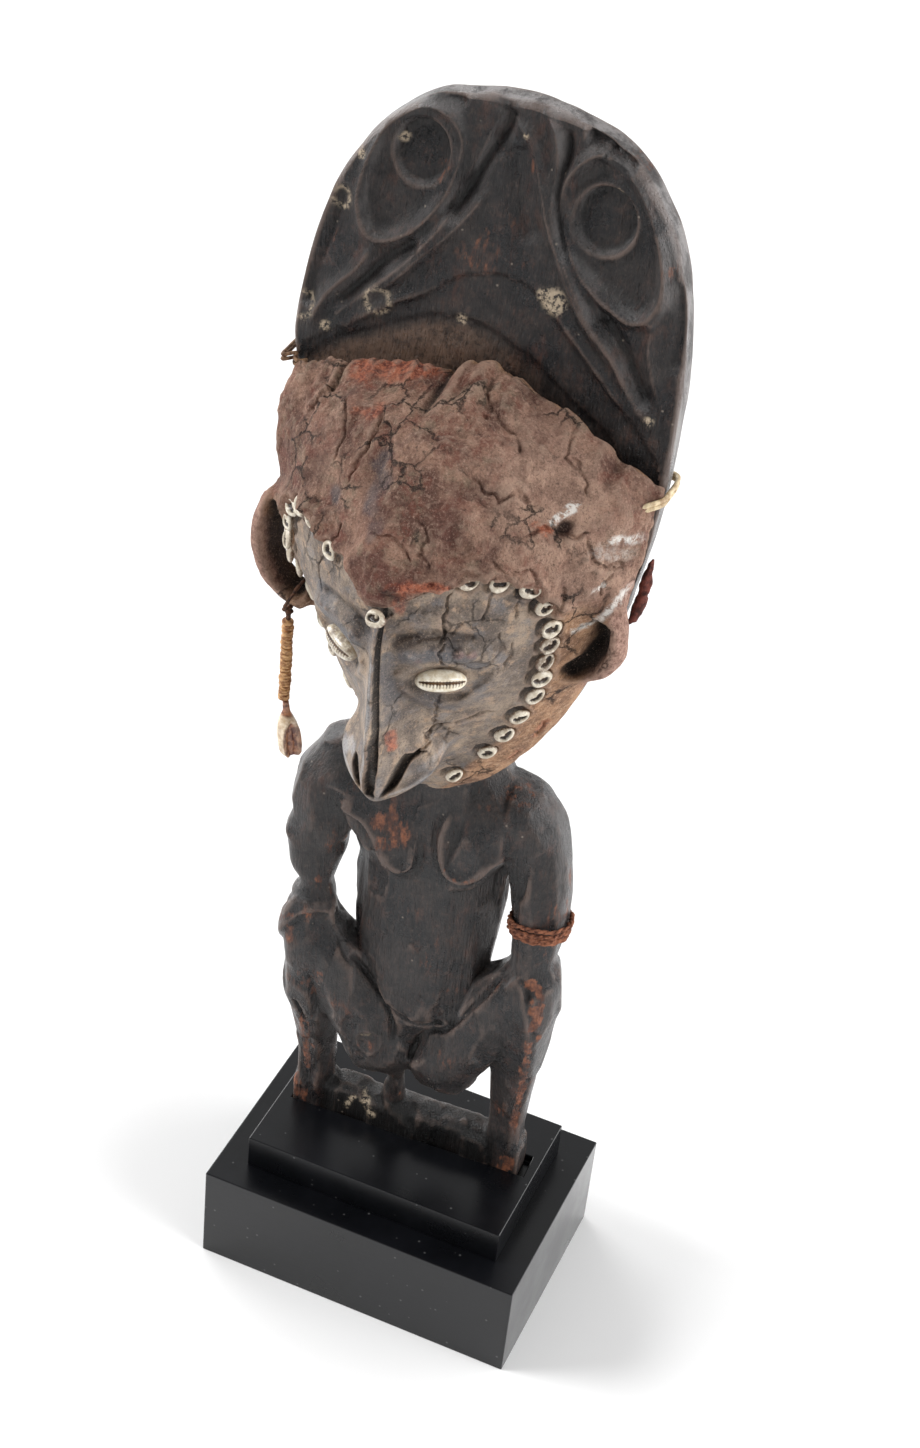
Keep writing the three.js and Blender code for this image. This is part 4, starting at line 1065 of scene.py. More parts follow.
# Patches of the face that differ in tone, among them painted shade and highlights: lines of x and h, with a
# reach and a strength
lids = [([(side * 10, 322), (side * 22, 322.5), (side * 32, 316)], 4.6, 1.0) for side in (-1, 1)]
folds = [([(side * 12, 297), (side * 22, 291), (side * 33, 297)], 3.6, 0.5) for side in (-1, 1)]
brow_ring = [
    (-12, 353), (-8, 357.5), (-4, 359), (0, 356), (2.6, 350), (1, 346), (-4, 345.5), (-8, 347.5),
    (-12, 353),
]
red_strip = [([(-42, 394), (-28, 398), (-9, 402)], 4.5, 1.0)]
face_zones = {
    "red": [
        ([(3, 350.5), (8, 352), (20, 352.5)], 2.6, 1.0), ([(7, 350), (6, 341)], 2.4, 0.8),
        ([(5, 284), (6, 276)], 1.6, 0.9), ([(42, 372), (47, 369.5)], 1.8, 0.9),
        ([(48, 273), (44, 263)], 1.8, 0.6), ([(38, 253), (35, 248)], 1.8, 0.6),
        ([(-34, 388), (-24, 391)], 1.6, 0.7),
    ],
    "dark_red": [
        (brow_ring, 3.2, 0.8), ([(-6, 352), (-5, 351)], 7, 0.5), ([(14, 378), (17, 366)], 4, 0.4),
        ([(-8, 372), (-14, 364)], 5, 0.35), ([(60, 368), (66, 376)], 5, 0.45),
        ([(49, 369.6), (50, 368.6)], 3, 0.9), ([(30, 398), (44, 390)], 5, 0.4),
    ],
    "grey": lids + folds + [
        ([(-31, 365), (-30, 364)], 4, 0.8), ([(-14, 373), (-13, 371)], 5, 0.7),
        ([(-8, 367), (-9, 366)], 4, 0.6), ([(-15, 381), (-13, 379)], 6, 0.7),
        ([(4, 320), (5, 290)], 3, 0.8), ([(-1, 320), (-1, 290)], 1.6, 0.9),
        ([(13, 262), (15, 256)], 5, 0.9), ([(-17, 262), (-17, 254)], 3.4, 1.0),
        ([(-5.5, 268), (-5, 250)], 1.2, 0.6), ([(3, 262), (2, 249)], 2, 0.6),
        ([(6, 272), (3, 256)], 2, 0.5), ([(-30, 327), (-25, 322)], 5, 0.9),
    ],
    "white": [
        ([(66, 364), (73, 361)], 2.2, 1.0), ([(58, 326), (63, 328), (67, 334), (71, 341)], 1.8, 1.0),
        ([(62, 361), (70, 356)], 3, 0.3), ([(64, 346), (64.5, 346)], 1.2, 1.0),
        ([(46.8, 372.8), (51.2, 375.6)], 1.5, 1.6), ([(49.8, 376.6), (52.2, 377)], 0.9, 1.3),
    ],
    # Painted highlights: on the nose's left lobe and both wings, along its channel's left edge and at the
    # inner end of the right lid.
    "painted_highlight": [
        ([(-17.6, 261), (-13, 266.4), (-10.4, 267.4)], 3.0, 0.8),
        ([(-16.6, 258), (-12, 256), (-10.6, 253.6)], 2.4, 0.7),
        ([(-0.8, 318), (-0.4, 300), (-0.2, 286), (-2.2, 270), (-4, 258)], 0.9, 0.6),
        ([(15, 262), (17, 266)], 2.6, 0.4),
        ([(6, 252), (11, 254), (16, 258)], 1.1, 0.5), ([(3.6, 262), (2, 252)], 1.6, 0.3),
        ([(12.9, 322.6), (11, 324)], 1.2, 0.4),
    ],
    "shade": [
        ([(7, 327), (13, 329.6), (20, 328.6), (26, 327)], 3.4, 0.9), ([(-7, 327), (-20, 328.6)], 3.4, 0.7),
        ([(11, 306), (14, 300), (20, 297), (27, 299)], 2.6, 0.6),
        ([(7, 340), (8.5, 325), (9, 300), (7, 282)], 5, 0.3),
        ([(12, 267), (13, 261), (11, 257)], 3.2, 0.55), ([(3.4, 350), (8, 347)], 2.2, 0.7),
    ],
    "dry": [([(36, 388), (54, 368), (66, 352)], 22, 0.8), ([(-44, 380), (-36, 368)], 12, 0.3)],
    "knob": [
        ([(26.3, 322.7), (26.4, 322.8)], 2.2, 0.8), ([(30, 322), (30.2, 322.1)], 1.8, 0.8),
        ([(13.6, 320), (14, 320.4)], 1.4, 0.48),
    ],
}


def store_face_zones(mesh, points):
    x, y, h, spots = coordinates(points)
    front = smooth(-20, -30, y)
    ragged = rumple(points, 3, 51)

    def zone(lines):
        mask = np.zeros(len(x))
        for line, reach, strength in lines:
            gap = gap_to(spots, line) + 0.35 * reach * ragged
            mask = np.maximum(mask, strength * smooth(reach, reach * 0.35, gap))
        return mask

    for name, lines in face_zones.items():
        mask = zone(lines) * (smooth(-45, -55, y) if name == "painted_highlight" else front)
        if name == "red":
            mask = np.maximum(mask, zone(red_strip) * smooth(-48, -40, y))
        store(mesh, name, mask)
    past_board = smooth(-2.5, 0.5, np.abs(x) - half_width(h))
    store(mesh, "ear", past_board * smooth(286, 290, h) * smooth(348, 342, h))


# Shells


def unit(vector):
    return vector / np.linalg.norm(vector)


def frame_of(run, out):
    along = unit(run - out * (run @ out))
    return along, np.cross(out, along)


def ball_form(name, segments, rings):
    """A ball of radius 1 as a mesh, with its points and the angle of each round the ball's axis."""
    bm = bmesh.new()
    bmesh.ops.create_uvsphere(bm, u_segments=segments, v_segments=rings, radius=1)
    mesh = mesh_from(bm, name)
    ball = read_points(mesh) * MM
    return mesh, ball, np.arctan2(ball[:, 1], ball[:, 0])


def shell_object(mesh, points, hollow, dirt_and_shade):
    write_points(mesh, points)
    store(mesh, "hollow", hollow)
    store(mesh, "dirt_and_shade", dirt_and_shade)
    return new_object(mesh.name, mesh)


# How much each shell of the right row and the bridge is dulled by dirt
dirty_shells = {
    "shell_bridge": 0.35, "shell_right_01": 0.5, "shell_right_02": 0.3, "shell_right_06": 0.7,
    "shell_right_07": 0.8,
}


def ring_shell(name, chance):
    """A small shell ground open on its back: an oval ring round a dark slot with a pillar in it."""
    centre, out = shell_seats[name]
    along, across = frame_of(np.array((1.0, 0.0, 0.2 if centre[0] > 0 else -0.3)), out)
    turn = chance.uniform(-0.4, 0.4)
    cosine, sine = math.cos(turn), math.sin(turn)
    along, across = cosine * along + sine * across, cosine * across - sine * along
    tilt = chance.normal(0, 0.12, 2)
    out = unit(out + tilt[0] * along + tilt[1] * across + (0.08, -0.15, 0.3))
    along, across = frame_of(along, out)
    mesh, ball, angle = ball_form(name + "_ring", 36, 26)
    size = chance.uniform(0.94, 1.12)
    hollow_x, hollow_y = chance.uniform(-0.12, 0.12), chance.uniform(-0.1, 0.1)
    ragged = 1 + 0.14 * np.sin(2 * angle + chance.uniform(0, 6))
    ragged += 0.1 * np.sin(3 * angle + chance.uniform(0, 6))
    hole = oval(ball[:, :2], (hollow_x, hollow_y), (0.66, 0.44)) * ragged
    top = ball[:, 2] > 0
    depth = np.where(top, smooth(1.05, 0.8, hole), 0)
    pillar_x = chance.uniform(-0.3, 0.3)
    pillar = bump(oval(ball[:, :2], (hollow_x + pillar_x, hollow_y + 0.3), (0.2, 0.3)), 1)
    local = np.stack([
        3.9 * size * ball[:, 0] * (0.9 + 0.1 * ragged),
        3.2 * size * ball[:, 1] * (1 - 0.16 * ball[:, 0]),
        np.where(top, 1.7, 1.4) * ball[:, 2] - 1.6 * depth + 1.2 * depth * pillar,
    ], axis=1)
    sunk = 0.8 * dirty_shells.get(name, 0)
    points = centre + (0.3 - sunk) * out + local @ np.array([along, across, out])
    hollow = np.where(top, smooth(1.0, 0.85, hole) * (1 - 0.8 * smooth(0.3, 0.6, pillar)), 0)
    # Dirt on each shell, and painted shade darkening its sides towards the paste.
    dirt_and_shade = dirty_shells.get(name, chance.uniform(0, 0.3)) + 0.8 * smooth(0.6, 0.1, ball[:, 2])
    return shell_object(mesh, points, hollow, dirt_and_shade)


def cowrie(name):
    """A cowrie laid on its back, with the toothed opening along it."""
    bm = merged_copy(name)
    corners = corners_of(bm)
    bm.free()
    centre = (corners.min(0) + corners.max(0)) / 2
    along, _, out = np.linalg.svd(corners - corners.mean(0))[2]
    out = -out * math.copysign(1, out[1])
    along = along * math.copysign(1, along[0])
    across = np.cross(out, along)
    across = across * math.copysign(1, across[2])
    mesh, ball, around = ball_form(name + "_shell", 96, 84)
    run = ball[:, 2]
    slit = around - 0.62 - 0.1 * run**2
    ends = smooth(0.98, 0.8, np.abs(run))
    open_slit = bump(slit, 0.13) * ends
    teeth = smooth(0.2, 0.7, 0.5 + 0.5 * np.cos(run * 2 * math.pi * 8))
    lower = smooth(-0.7, -0.45, slit) * smooth(0.02, -0.1, slit)
    upper = smooth(0.35, 0.2, slit) * smooth(0.02, 0.1, slit)
    toothed = ends * teeth * (lower + 0.5 * upper)
    girth = (1 - np.abs(run) ** 2.4) ** 0.5 * (1 - 0.3 * open_slit - 0.06 * toothed)
    along, across = along - 0.07 * across, across + 0.07 * along
    local = np.stack([9.6 * run, 4.1 * girth * np.sin(around), 4.2 * girth * np.cos(around)], axis=1)
    points = centre - 0.3 * out + (0, 0, -1.3) + local @ np.array([along, across, out])
    soiled = 0.6 * smooth(0.5, 1.2, np.abs(around - 0.2)) * rumple(points, 3, 71)
    soiled += 0.3 * smooth(0.8, 1, np.abs(run))
    # The slit and the grooves between the teeth take the opening's dark tone, as painted shade.
    hollow = np.clip(open_slit * 1.3 + 0.55 * toothed, 0, 1)
    return shell_object(mesh, points, hollow, soiled + (0.5 if "left" in name else 0))


# Earring

disc_pitch = 1.36


def disc_string():
    """Ground shell discs threaded one below the other."""
    low, high = box_of("earring_discs")
    middle = (low + high) / 2
    top, bottom = (np.array((middle[0], middle[1], end)) for end in (high[2], low[2]))
    chance = np.random.default_rng(5)
    count = int((top[2] - bottom[2]) / disc_pitch)
    bm = bmesh.new()
    for i in range(count):
        place = top + (bottom - top) * (i + 0.5) / count + (*chance.normal(0, 0.12, 2), 0)
        radius = chance.uniform(2.15, 2.6) * MM
        spot = Matrix.Translation(Vector(place) * MM)
        for axis in "XY":
            spot = spot @ Matrix.Rotation(chance.normal(0, 0.09), 4, axis)
        bmesh.ops.create_cone(bm, cap_ends=True, segments=20, radius1=radius,
                              radius2=radius * chance.uniform(0.94, 1), depth=1.12 * MM, matrix=spot)
    rims = [e for e in bm.edges if e.calc_face_angle(0) > 1]
    bmesh.ops.bevel(bm, geom=rims, offset=0.2 * MM, segments=2, profile=0.5, affect="EDGES", material=-1)
    string = Matrix.Translation(Vector(middle) * MM)
    bmesh.ops.create_cone(bm, cap_ends=True, segments=8, radius1=0.7 * MM, radius2=0.7 * MM,
                          depth=(high[2] - low[2]) * MM, matrix=string)
    return object_from(bm, "disc_string")


def pendant_shell():
    """A long shell that narrows to its neck and opens wide to the viewer's right at its end."""
    low, high = box_of("earring_pendant")
    top = np.array(((low[0] + high[0]) / 2 - 1.4, (low[1] + high[1]) / 2, high[2]))
    mesh, ball, around = ball_form("pendant_shell", 56, 60)
    down = np.arccos(np.clip(ball[:, 2], -1, 1)) / math.pi
    radius = np.interp(down, (0, 0.02, 0.1, 0.2, 0.28, 0.4, 0.6, 0.8, 0.93, 0.985, 1),
                       (0, 1.3, 1.4, 1.6, 2.6, 4.0, 4.7, 4.8, 4.4, 3.4, 0))
    facing = np.arctan2(np.sin(around + 0.6), np.cos(around + 0.6))
    mouth = np.hypot(facing / 0.95, (down - 0.74) / 0.42)
    open_mouth = smooth(1.0, 0.72, mouth)
    below_neck = smooth(0.3, 0.5, down)
    radius = radius * (1 - 0.55 * open_mouth) + 0.5 * bump(mouth - 1.1, 0.12) * below_neck
    radius *= 1 + 0.03 * np.sin(down * 70) * smooth(0.3, 0.1, down)
    shape = np.stack([radius * np.cos(around) + 3.4 * down, 0.85 * radius * np.sin(around)], axis=1)
    points = top + np.column_stack([shape, -(high[2] - low[2]) * down])
    hollow = open_mouth + smooth(0.33, 0.2, down) + 0.7 * bump(mouth - 1, 0.1) * below_neck
    return shell_object(mesh, points, np.clip(hollow, 0, 1), 0.4 * rumple(points, 3, 72))


# Cords


def cord_object(name, lines, thickness, closed=False):
    """Round cords along the given lines of points, as one mesh."""
    curve = bpy.data.curves.new(name, "CURVE")
    curve.dimensions = "3D"
    curve.bevel_depth = thickness / 2 * MM
    curve.bevel_resolution = 1
    curve.use_fill_caps = not closed
    for line in lines:
        spline = curve.splines.new("POLY")
        spline.points.add(len(line) - 1)
        spline.points.foreach_set("co", np.hstack([np.array(line) * MM, np.ones((len(line), 1))]).ravel())
        spline.use_cyclic_u = closed
    return settle(new_object(name, curve))


def band_outline(node, angles):
    """Centre, axis, and the way and reach to the outside all round of a band that goes round a limb."""
    bm = merged_copy(node)
    corners = corners_of(bm)
    tree = BVHTree.FromBMesh(bm)
    bm.free()
    centre = (corners.min(0) + corners.max(0)) / 2
    axis = np.linalg.svd(corners - corners.mean(0))[2][2]
    axis *= math.copysign(1, axis[2])
    first = unit(np.cross(axis, (0.0, 1.0, 0.0)))
    second = np.cross(axis, first)
    rays = np.cos(angles)[:, None] * first + np.sin(angles)[:, None] * second
    start = 40
    hits = [tree.ray_cast(Vector((centre + start * ray) * MM), Vector(-ray)) for ray in rays]
    reach = start - np.array([hit[3] for hit in hits]) / MM
    for _ in range(6):
        reach = (np.roll(reach, 1) + 2 * reach + np.roll(reach, -1)) / 4
    return centre, axis, rays, reach


# Rounds of the armband: height on the arm, and how far the cord stands off and rises on the outer side
band_rounds = [(-2.7, 0.25, 0), (-0.9, 0.25, 0), (0.9, 0.25, 0), (2.7, 2.2, 1.8)]


def twisted_band():
    """Four rounds of two-strand fibre cord, one of them slack on the arm's outer side."""
    angle = np.linspace(0, 2 * math.pi, 300, endpoint=False)
    centre, axis, rays, reach = band_outline("armband", angle)
    outside = bump(np.arccos(np.clip(rays @ np.array((0.94, -0.2, 0.28)), -1, 1)), 0.55)
    lines = []
    for i, (level, slack, lifted) in enumerate(band_rounds):
        rise = level + 0.5 * np.sin(angle + 1.7 * i) + 0.3 * np.sin(3 * angle + i) + lifted * outside
        for strand in (0, math.pi):
            twist = (10 + i) * angle + strand
            out = reach - 1.2 + slack * outside + 0.4 * np.cos(twist)
            up = rise + 0.42 * np.sin(twist)
            lines.append(centre + rays * out[:, None] + axis * up[:, None])
    return cord_object("twisted_band", lines, 1.3, closed=True)


def cane_strands(name, side, height, reach, edge_gap, front_gap, thickness):
    """Two strands of split cane from a hole in the paste round the board's edge."""
    edge = float(half_width(np.array(height))) + edge_gap
    board = float(board_front(height))
    back = board + board_thickness
    front = board - front_gap
    lines = []
    for rise, drop in ((0.95, 0.8), (-0.95, 1.6)):
        h = height + rise
        route = [
            (edge - reach, front + 2.2, h - reach / 4), (edge - reach * 0.75, front - 0.6, h - reach / 5),
            (edge - reach / 2, front, h - reach / 7), (edge - 3.4, front + 2.4, h - 0.4),
            (edge - 0.2, board - 4.5, h), (edge + 0.3, board, h), (edge + 0.1, back - 3, h),
            (edge - 3, back + 0.8, h), (edge - 13, back + 0.6, h - drop),
        ]
        lines.append(course([(side * x, y, z + ground) for x, y, z in route], steps=8))
    return cord_object(name, lines, thickness)


# Materials


class Nodes:
    """Adds nodes to a tree, with inputs given by name as values or as other nodes' outputs."""

    def __init__(self, tree):
        self.tree = tree

    def fill(self, socket, value):
        if isinstance(value, bpy.types.NodeSocket):
            self.tree.links.new(value, socket)
        else:
            socket.default_value = value

    def put(self, node, name, value):
        self.fill(node.inputs[name], value)

    def add(self, kind, settings=None, **inputs):
        node = self.tree.nodes.new(kind)
        for name, value in (settings or {}).items():
            setattr(node, name, value)
        for name, value in inputs.items():
            self.put(node, name.replace("_", " "), value)
        return node

    def math(self, operation, *values):
        node = self.add("ShaderNodeMath", {"operation": operation})
        for socket, value in zip(node.inputs, values):
            self.fill(socket, value)
        return node.outputs[0]

    def times(self, first, second):
        return self.math("MULTIPLY", first, second)

    def total(self, first, *more):
        for value in more:
            first = self.math("ADD", first, value)
        return first

    def shift(self, operation, first, second):
        node = self.add("ShaderNodeVectorMath", {"operation": operation})
        self.fill(node.inputs[0], first)
        self.fill(node.inputs["Scale" if operation == "SCALE" else 1], second)
        return node.outputs[0]

    def ramp(self, value, low, high, out_low=0.0, out_high=1.0):
        """A value's smooth change from one number to another."""
        limits = {"From_Min": low, "From_Max": high, "To_Min": out_low, "To_Max": out_high}
        node = self.add("ShaderNodeMapRange", {"interpolation_type": "SMOOTHSTEP"}, Value=value, **limits)
        return node.outputs["Result"]

    def mix(self, mask, first, second):
        """Two colours mixed, each given as a node's output or as its red, green and blue on screen."""
        node = self.add("ShaderNodeMix", {"data_type": "RGBA"})
        self.fill(node.inputs[0], mask)
        for number, value in ((6, first), (7, second)):
            self.fill(node.inputs[number], tone(*value) if isinstance(value, tuple) else value)
        return node.outputs[2]

    def coats(self, colour, *coats):
        """Lays coats over a colour, each given as mask, strength and colour."""
        for mask, strength, coat in coats:
            if strength != 1:
                mask = self.times(mask, strength)
            colour = self.mix(mask, colour, coat)
        return colour

    def noise(self, vector, size, detail=3.0, roughness=0.55):
        given = {"Vector": vector, "Scale": 1 / (size * MM), "Detail": detail, "Roughness": roughness}
        return self.add("ShaderNodeTexNoise", **given).outputs["Fac"]

    def patches(self, vector, size, detail, roughness, low, high, *out):
        return self.ramp(self.noise(vector, size, detail, roughness), low, high, *out)

    def place(self, *stretch):
        """Places on the object, stretched by the given shares along x, y and z."""
        place = self.add("ShaderNodeTexCoord").outputs["Object"]
        if stretch:
            place = self.add("ShaderNodeMapping", Vector=place, Scale=stretch).outputs["Vector"]
        return place

    def layer(self, name):
        return self.add("ShaderNodeAttribute", {"attribute_name": name}).outputs["Fac"]

    def group(self, name, **inputs):
        return self.add("ShaderNodeGroup", {"node_tree": groups[name]}, **inputs).outputs


def tone(red, green, blue):
    """A colour given as it looks on screen, 0 to 255."""
    def linear(value):
        value /= 255
        return value / 12.92 if value <= 0.04045 else ((value + 0.055) / 1.055) ** 2.4
    return (linear(red), linear(green), linear(blue), 1)


def new_group(name, inputs, outputs):
    tree = bpy.data.node_groups.new(name, "ShaderNodeTree")
    for label, value in inputs.items():
        tree.interface.new_socket(label, in_out="INPUT", socket_type="NodeSocketFloat").default_value = value
    for label in outputs:
        tree.interface.new_socket(label, in_out="OUTPUT", socket_type="NodeSocketFloat")
    n = Nodes(tree)
    return n, n.add("NodeGroupInput").outputs, n.add("NodeGroupOutput")


def wear_group():
    """Rubbed edges: where a surface stands out, broken up by noise."""
    inputs = {"Edge": 0, "Start": 0.05, "Full": 0.25, "Break": 0.1}
    n, given, out = new_group("rubbed_edges", inputs, ["Mask"])
    uneven = n.times(n.math("SUBTRACT", n.noise(n.place(), 5, 4, 0.65), 0.5), given["Break"])
    risen = n.math("SUBTRACT", n.total(given["Edge"], uneven), given["Start"])
    share = n.math("DIVIDE", risen, n.math("SUBTRACT", given["Full"], given["Start"]))
    n.put(out, "Mask", n.add("ShaderNodeClamp", Value=share).outputs[0])
    return n.tree


def grain_group():
    """Wood grain: long fine streaks that run up the piece."""
    n, given, out = new_group("grain", {"Width": 1.2, "Contrast": 1}, ["Streak", "Pores"])
    scale = n.math("DIVIDE", 1 / MM, given["Width"])
    streak = n.add("ShaderNodeTexNoise", Vector=n.place(1, 1, 0.06), Scale=scale, Detail=4.0, Roughness=0.6)
    sharper = n.times(n.math("SUBTRACT", streak.outputs["Fac"], 0.5), given["Contrast"])
    n.put(out, "Streak", n.total(sharper, 0.5))
    pores = n.add("ShaderNodeTexVoronoi", Vector=n.place(1, 1, 0.12), Scale=scale)
    n.put(out, "Pores", n.ramp(pores.outputs["Distance"], 0.05, 0.3))
    return n.tree


def dust_group():
    """Pale specks and dusty patches."""
    n, given, out = new_group("dust", {"Size": 1, "Amount": 0.5}, ["Specks", "Bloom"])
    scale = n.math("DIVIDE", 1 / MM, given["Size"])
    dots = n.add("ShaderNodeTexVoronoi", Vector=n.place(), Scale=scale)
    chance = n.add("ShaderNodeSeparateColor", Color=dots.outputs["Color"]).outputs[0]
    some = n.math("LESS_THAN", chance, n.times(given["Amount"], 0.12))
    n.put(out, "Specks", n.times(n.ramp(dots.outputs["Distance"], 0.3, 0.1), some))
    n.put(out, "Bloom", n.times(n.patches(n.place(), 22, 5, 0.7, 0.5, 0.75), given["Amount"]))
    return n.tree


def craze_group():
    """Fine cracks: thin dark lines of a broken network."""
    n, given, out = new_group("fine_cracks", {"Size": 9, "Width": 0.03, "Sway": 0.3}, ["Line"])
    scale = n.math("DIVIDE", 1 / MM, given["Size"])
    place = n.place()
    sway = n.add("ShaderNodeTexNoise", Vector=place, Scale=n.times(scale, 3.0), Detail=6.0, Roughness=0.7)
    centred = n.shift("SUBTRACT", sway.outputs["Color"], (0.5, 0.5, 0.5))
    swayed = n.shift("ADD", place, n.shift("SCALE", centred, n.math("DIVIDE", given["Sway"], scale)))
    cells = n.add("ShaderNodeTexVoronoi", {"feature": "DISTANCE_TO_EDGE"}, Vector=swayed, Scale=scale)
    thin = n.math("SUBTRACT", 1, n.math("DIVIDE", cells.outputs["Distance"], given["Width"]))
    line = n.add("ShaderNodeClamp", Value=thin).outputs[0]
    n.put(out, "Line", n.times(line, n.patches(place, 26, 2, 0.5, 0.49, 0.6)))
    return n.tree


groups = {"wear": wear_group(), "grain": grain_group(), "dust": dust_group(), "craze": craze_group()}


def new_material(name, **finish):
    """A material with the given plain values on its shader."""
    material = bpy.data.materials.new(name)
    material.use_nodes = True
    material.node_tree.nodes.clear()
    n = Nodes(material.node_tree)
    shader = n.add("ShaderNodeBsdfPrincipled", **finish)
    surface = n.add("ShaderNodeOutputMaterial")
    n.put(surface, "Surface", shader.outputs[0])
    return material, n, shader


def raise_bump(n, shader, height, distance):
    node = n.add("ShaderNodeBump", Height=height, Strength=1.0, Distance=distance * MM)
    n.put(shader, "Normal", node.outputs["Normal"])


def patina_wood():
    """Near-black carved wood with a reddish core where it is rubbed or knocked."""
    material, n, shader = new_material("patina_wood", Specular_IOR_Level=0.38)
    place = n.place()
    grain = n.group("grain", Width=1.0, Contrast=1.5)
    dust = n.group("dust", Size=2.2, Amount=0.12)
    clouds = n.noise(place, 18, 5, 0.6)
    fine = n.noise(n.place(1, 1, 0.5), 1.1, 5, 0.8)
    mottle = n.noise(place, 7, 5, 0.7)
    # Dust on the crest below its band, and a painted highlight along the bar's top back edge, in a pale brown.
    dust_and_highlight_coat = n.times(n.layer("dust_and_highlight"), n.patches(place, 4, 5, 0.7, 0.3, 0.6, 0.4, 1.0))
    # Painted sheen: a broken light grey where rim is stored.
    painted_sheen = n.times(n.layer("rim"), n.patches(n.place(1, 1, 0.4), 9, 6, 0.7, 0.38, 0.58, 0.15, 0.8))
    rubbed = n.group("wear", Edge=n.layer("edge"), Start=0.1, Full=0.45, Break=0.3)["Mask"]
    core = n.mix(n.patches(place, 5, 5, 0.7, 0.4, 0.62), (82, 52, 42), (146, 92, 66))
    flecks = n.patches(n.place(1, 1, 0.3), 3.4, 6, 0.75, 0.36, 0.64)
    bare = n.ramp(n.total(n.times(n.layer("worn"), 0.62), n.times(flecks, 0.54)), 0.58, 1.0)
    stain = n.times(n.layer("stain"), n.patches(place, 1.6, 4, 0.7, 0.42, 0.56))
    colour = n.coats(
        n.mix(n.ramp(clouds, 0.35, 0.65), (21, 22, 25), (46, 42, 41)),
        (n.ramp(grain["Streak"], 0.5, 0.85), 0.35, (72, 54, 47)),
        (n.patches(n.place(1, 1, 0.35), 9, 6, 0.75, 0.54, 0.72), 0.45, (88, 54, 42)),
        (dust_and_highlight_coat, 0.75, (122, 98, 82)),
        (n.ramp(fine, 0.54, 0.66), 0.3, (104, 86, 78)),
        (n.ramp(fine, 0.47, 0.38), 0.6, (13, 12, 13)),
        (n.ramp(mottle, 0.54, 0.68), 0.28, (98, 72, 62)),
        (n.ramp(mottle, 0.48, 0.36), 0.55, (15, 15, 17)),
        # Painted shade on the bar between the feet.
        (n.layer("painted_bar_shade"), 0.9, (9, 9, 9)),
        # Painted sheen in light grey.
        (painted_sheen, 1, (150, 146, 145)),
        (rubbed, 0.42, (128, 108, 98)),
        (bare, 0.9, core),
        (n.ramp(n.layer("broad"), -0.15, -1.3), 0.7, (15, 13, 12)),
        (stain, 1, (190, 172, 148)),
        (dust["Bloom"], 0.3, (110, 104, 100)),
        (dust["Specks"], 0.6, (150, 138, 126)),
    )
    n.put(shader, "Base Color", colour)
    gloss = n.ramp(clouds, 0.3, 0.7, 0.24, 0.38)
    n.put(shader, "Roughness", n.total(gloss, n.times(bare, 0.25), n.times(stain, 0.3)))
    speckle = n.noise(place, 1.7, 5, 0.75)
    height = n.total(grain["Streak"], n.times(grain["Pores"], 0.5), n.times(speckle, 0.8), n.times(fine, 0.5))
    raise_bump(n, shader, height, 0.45)
    return material


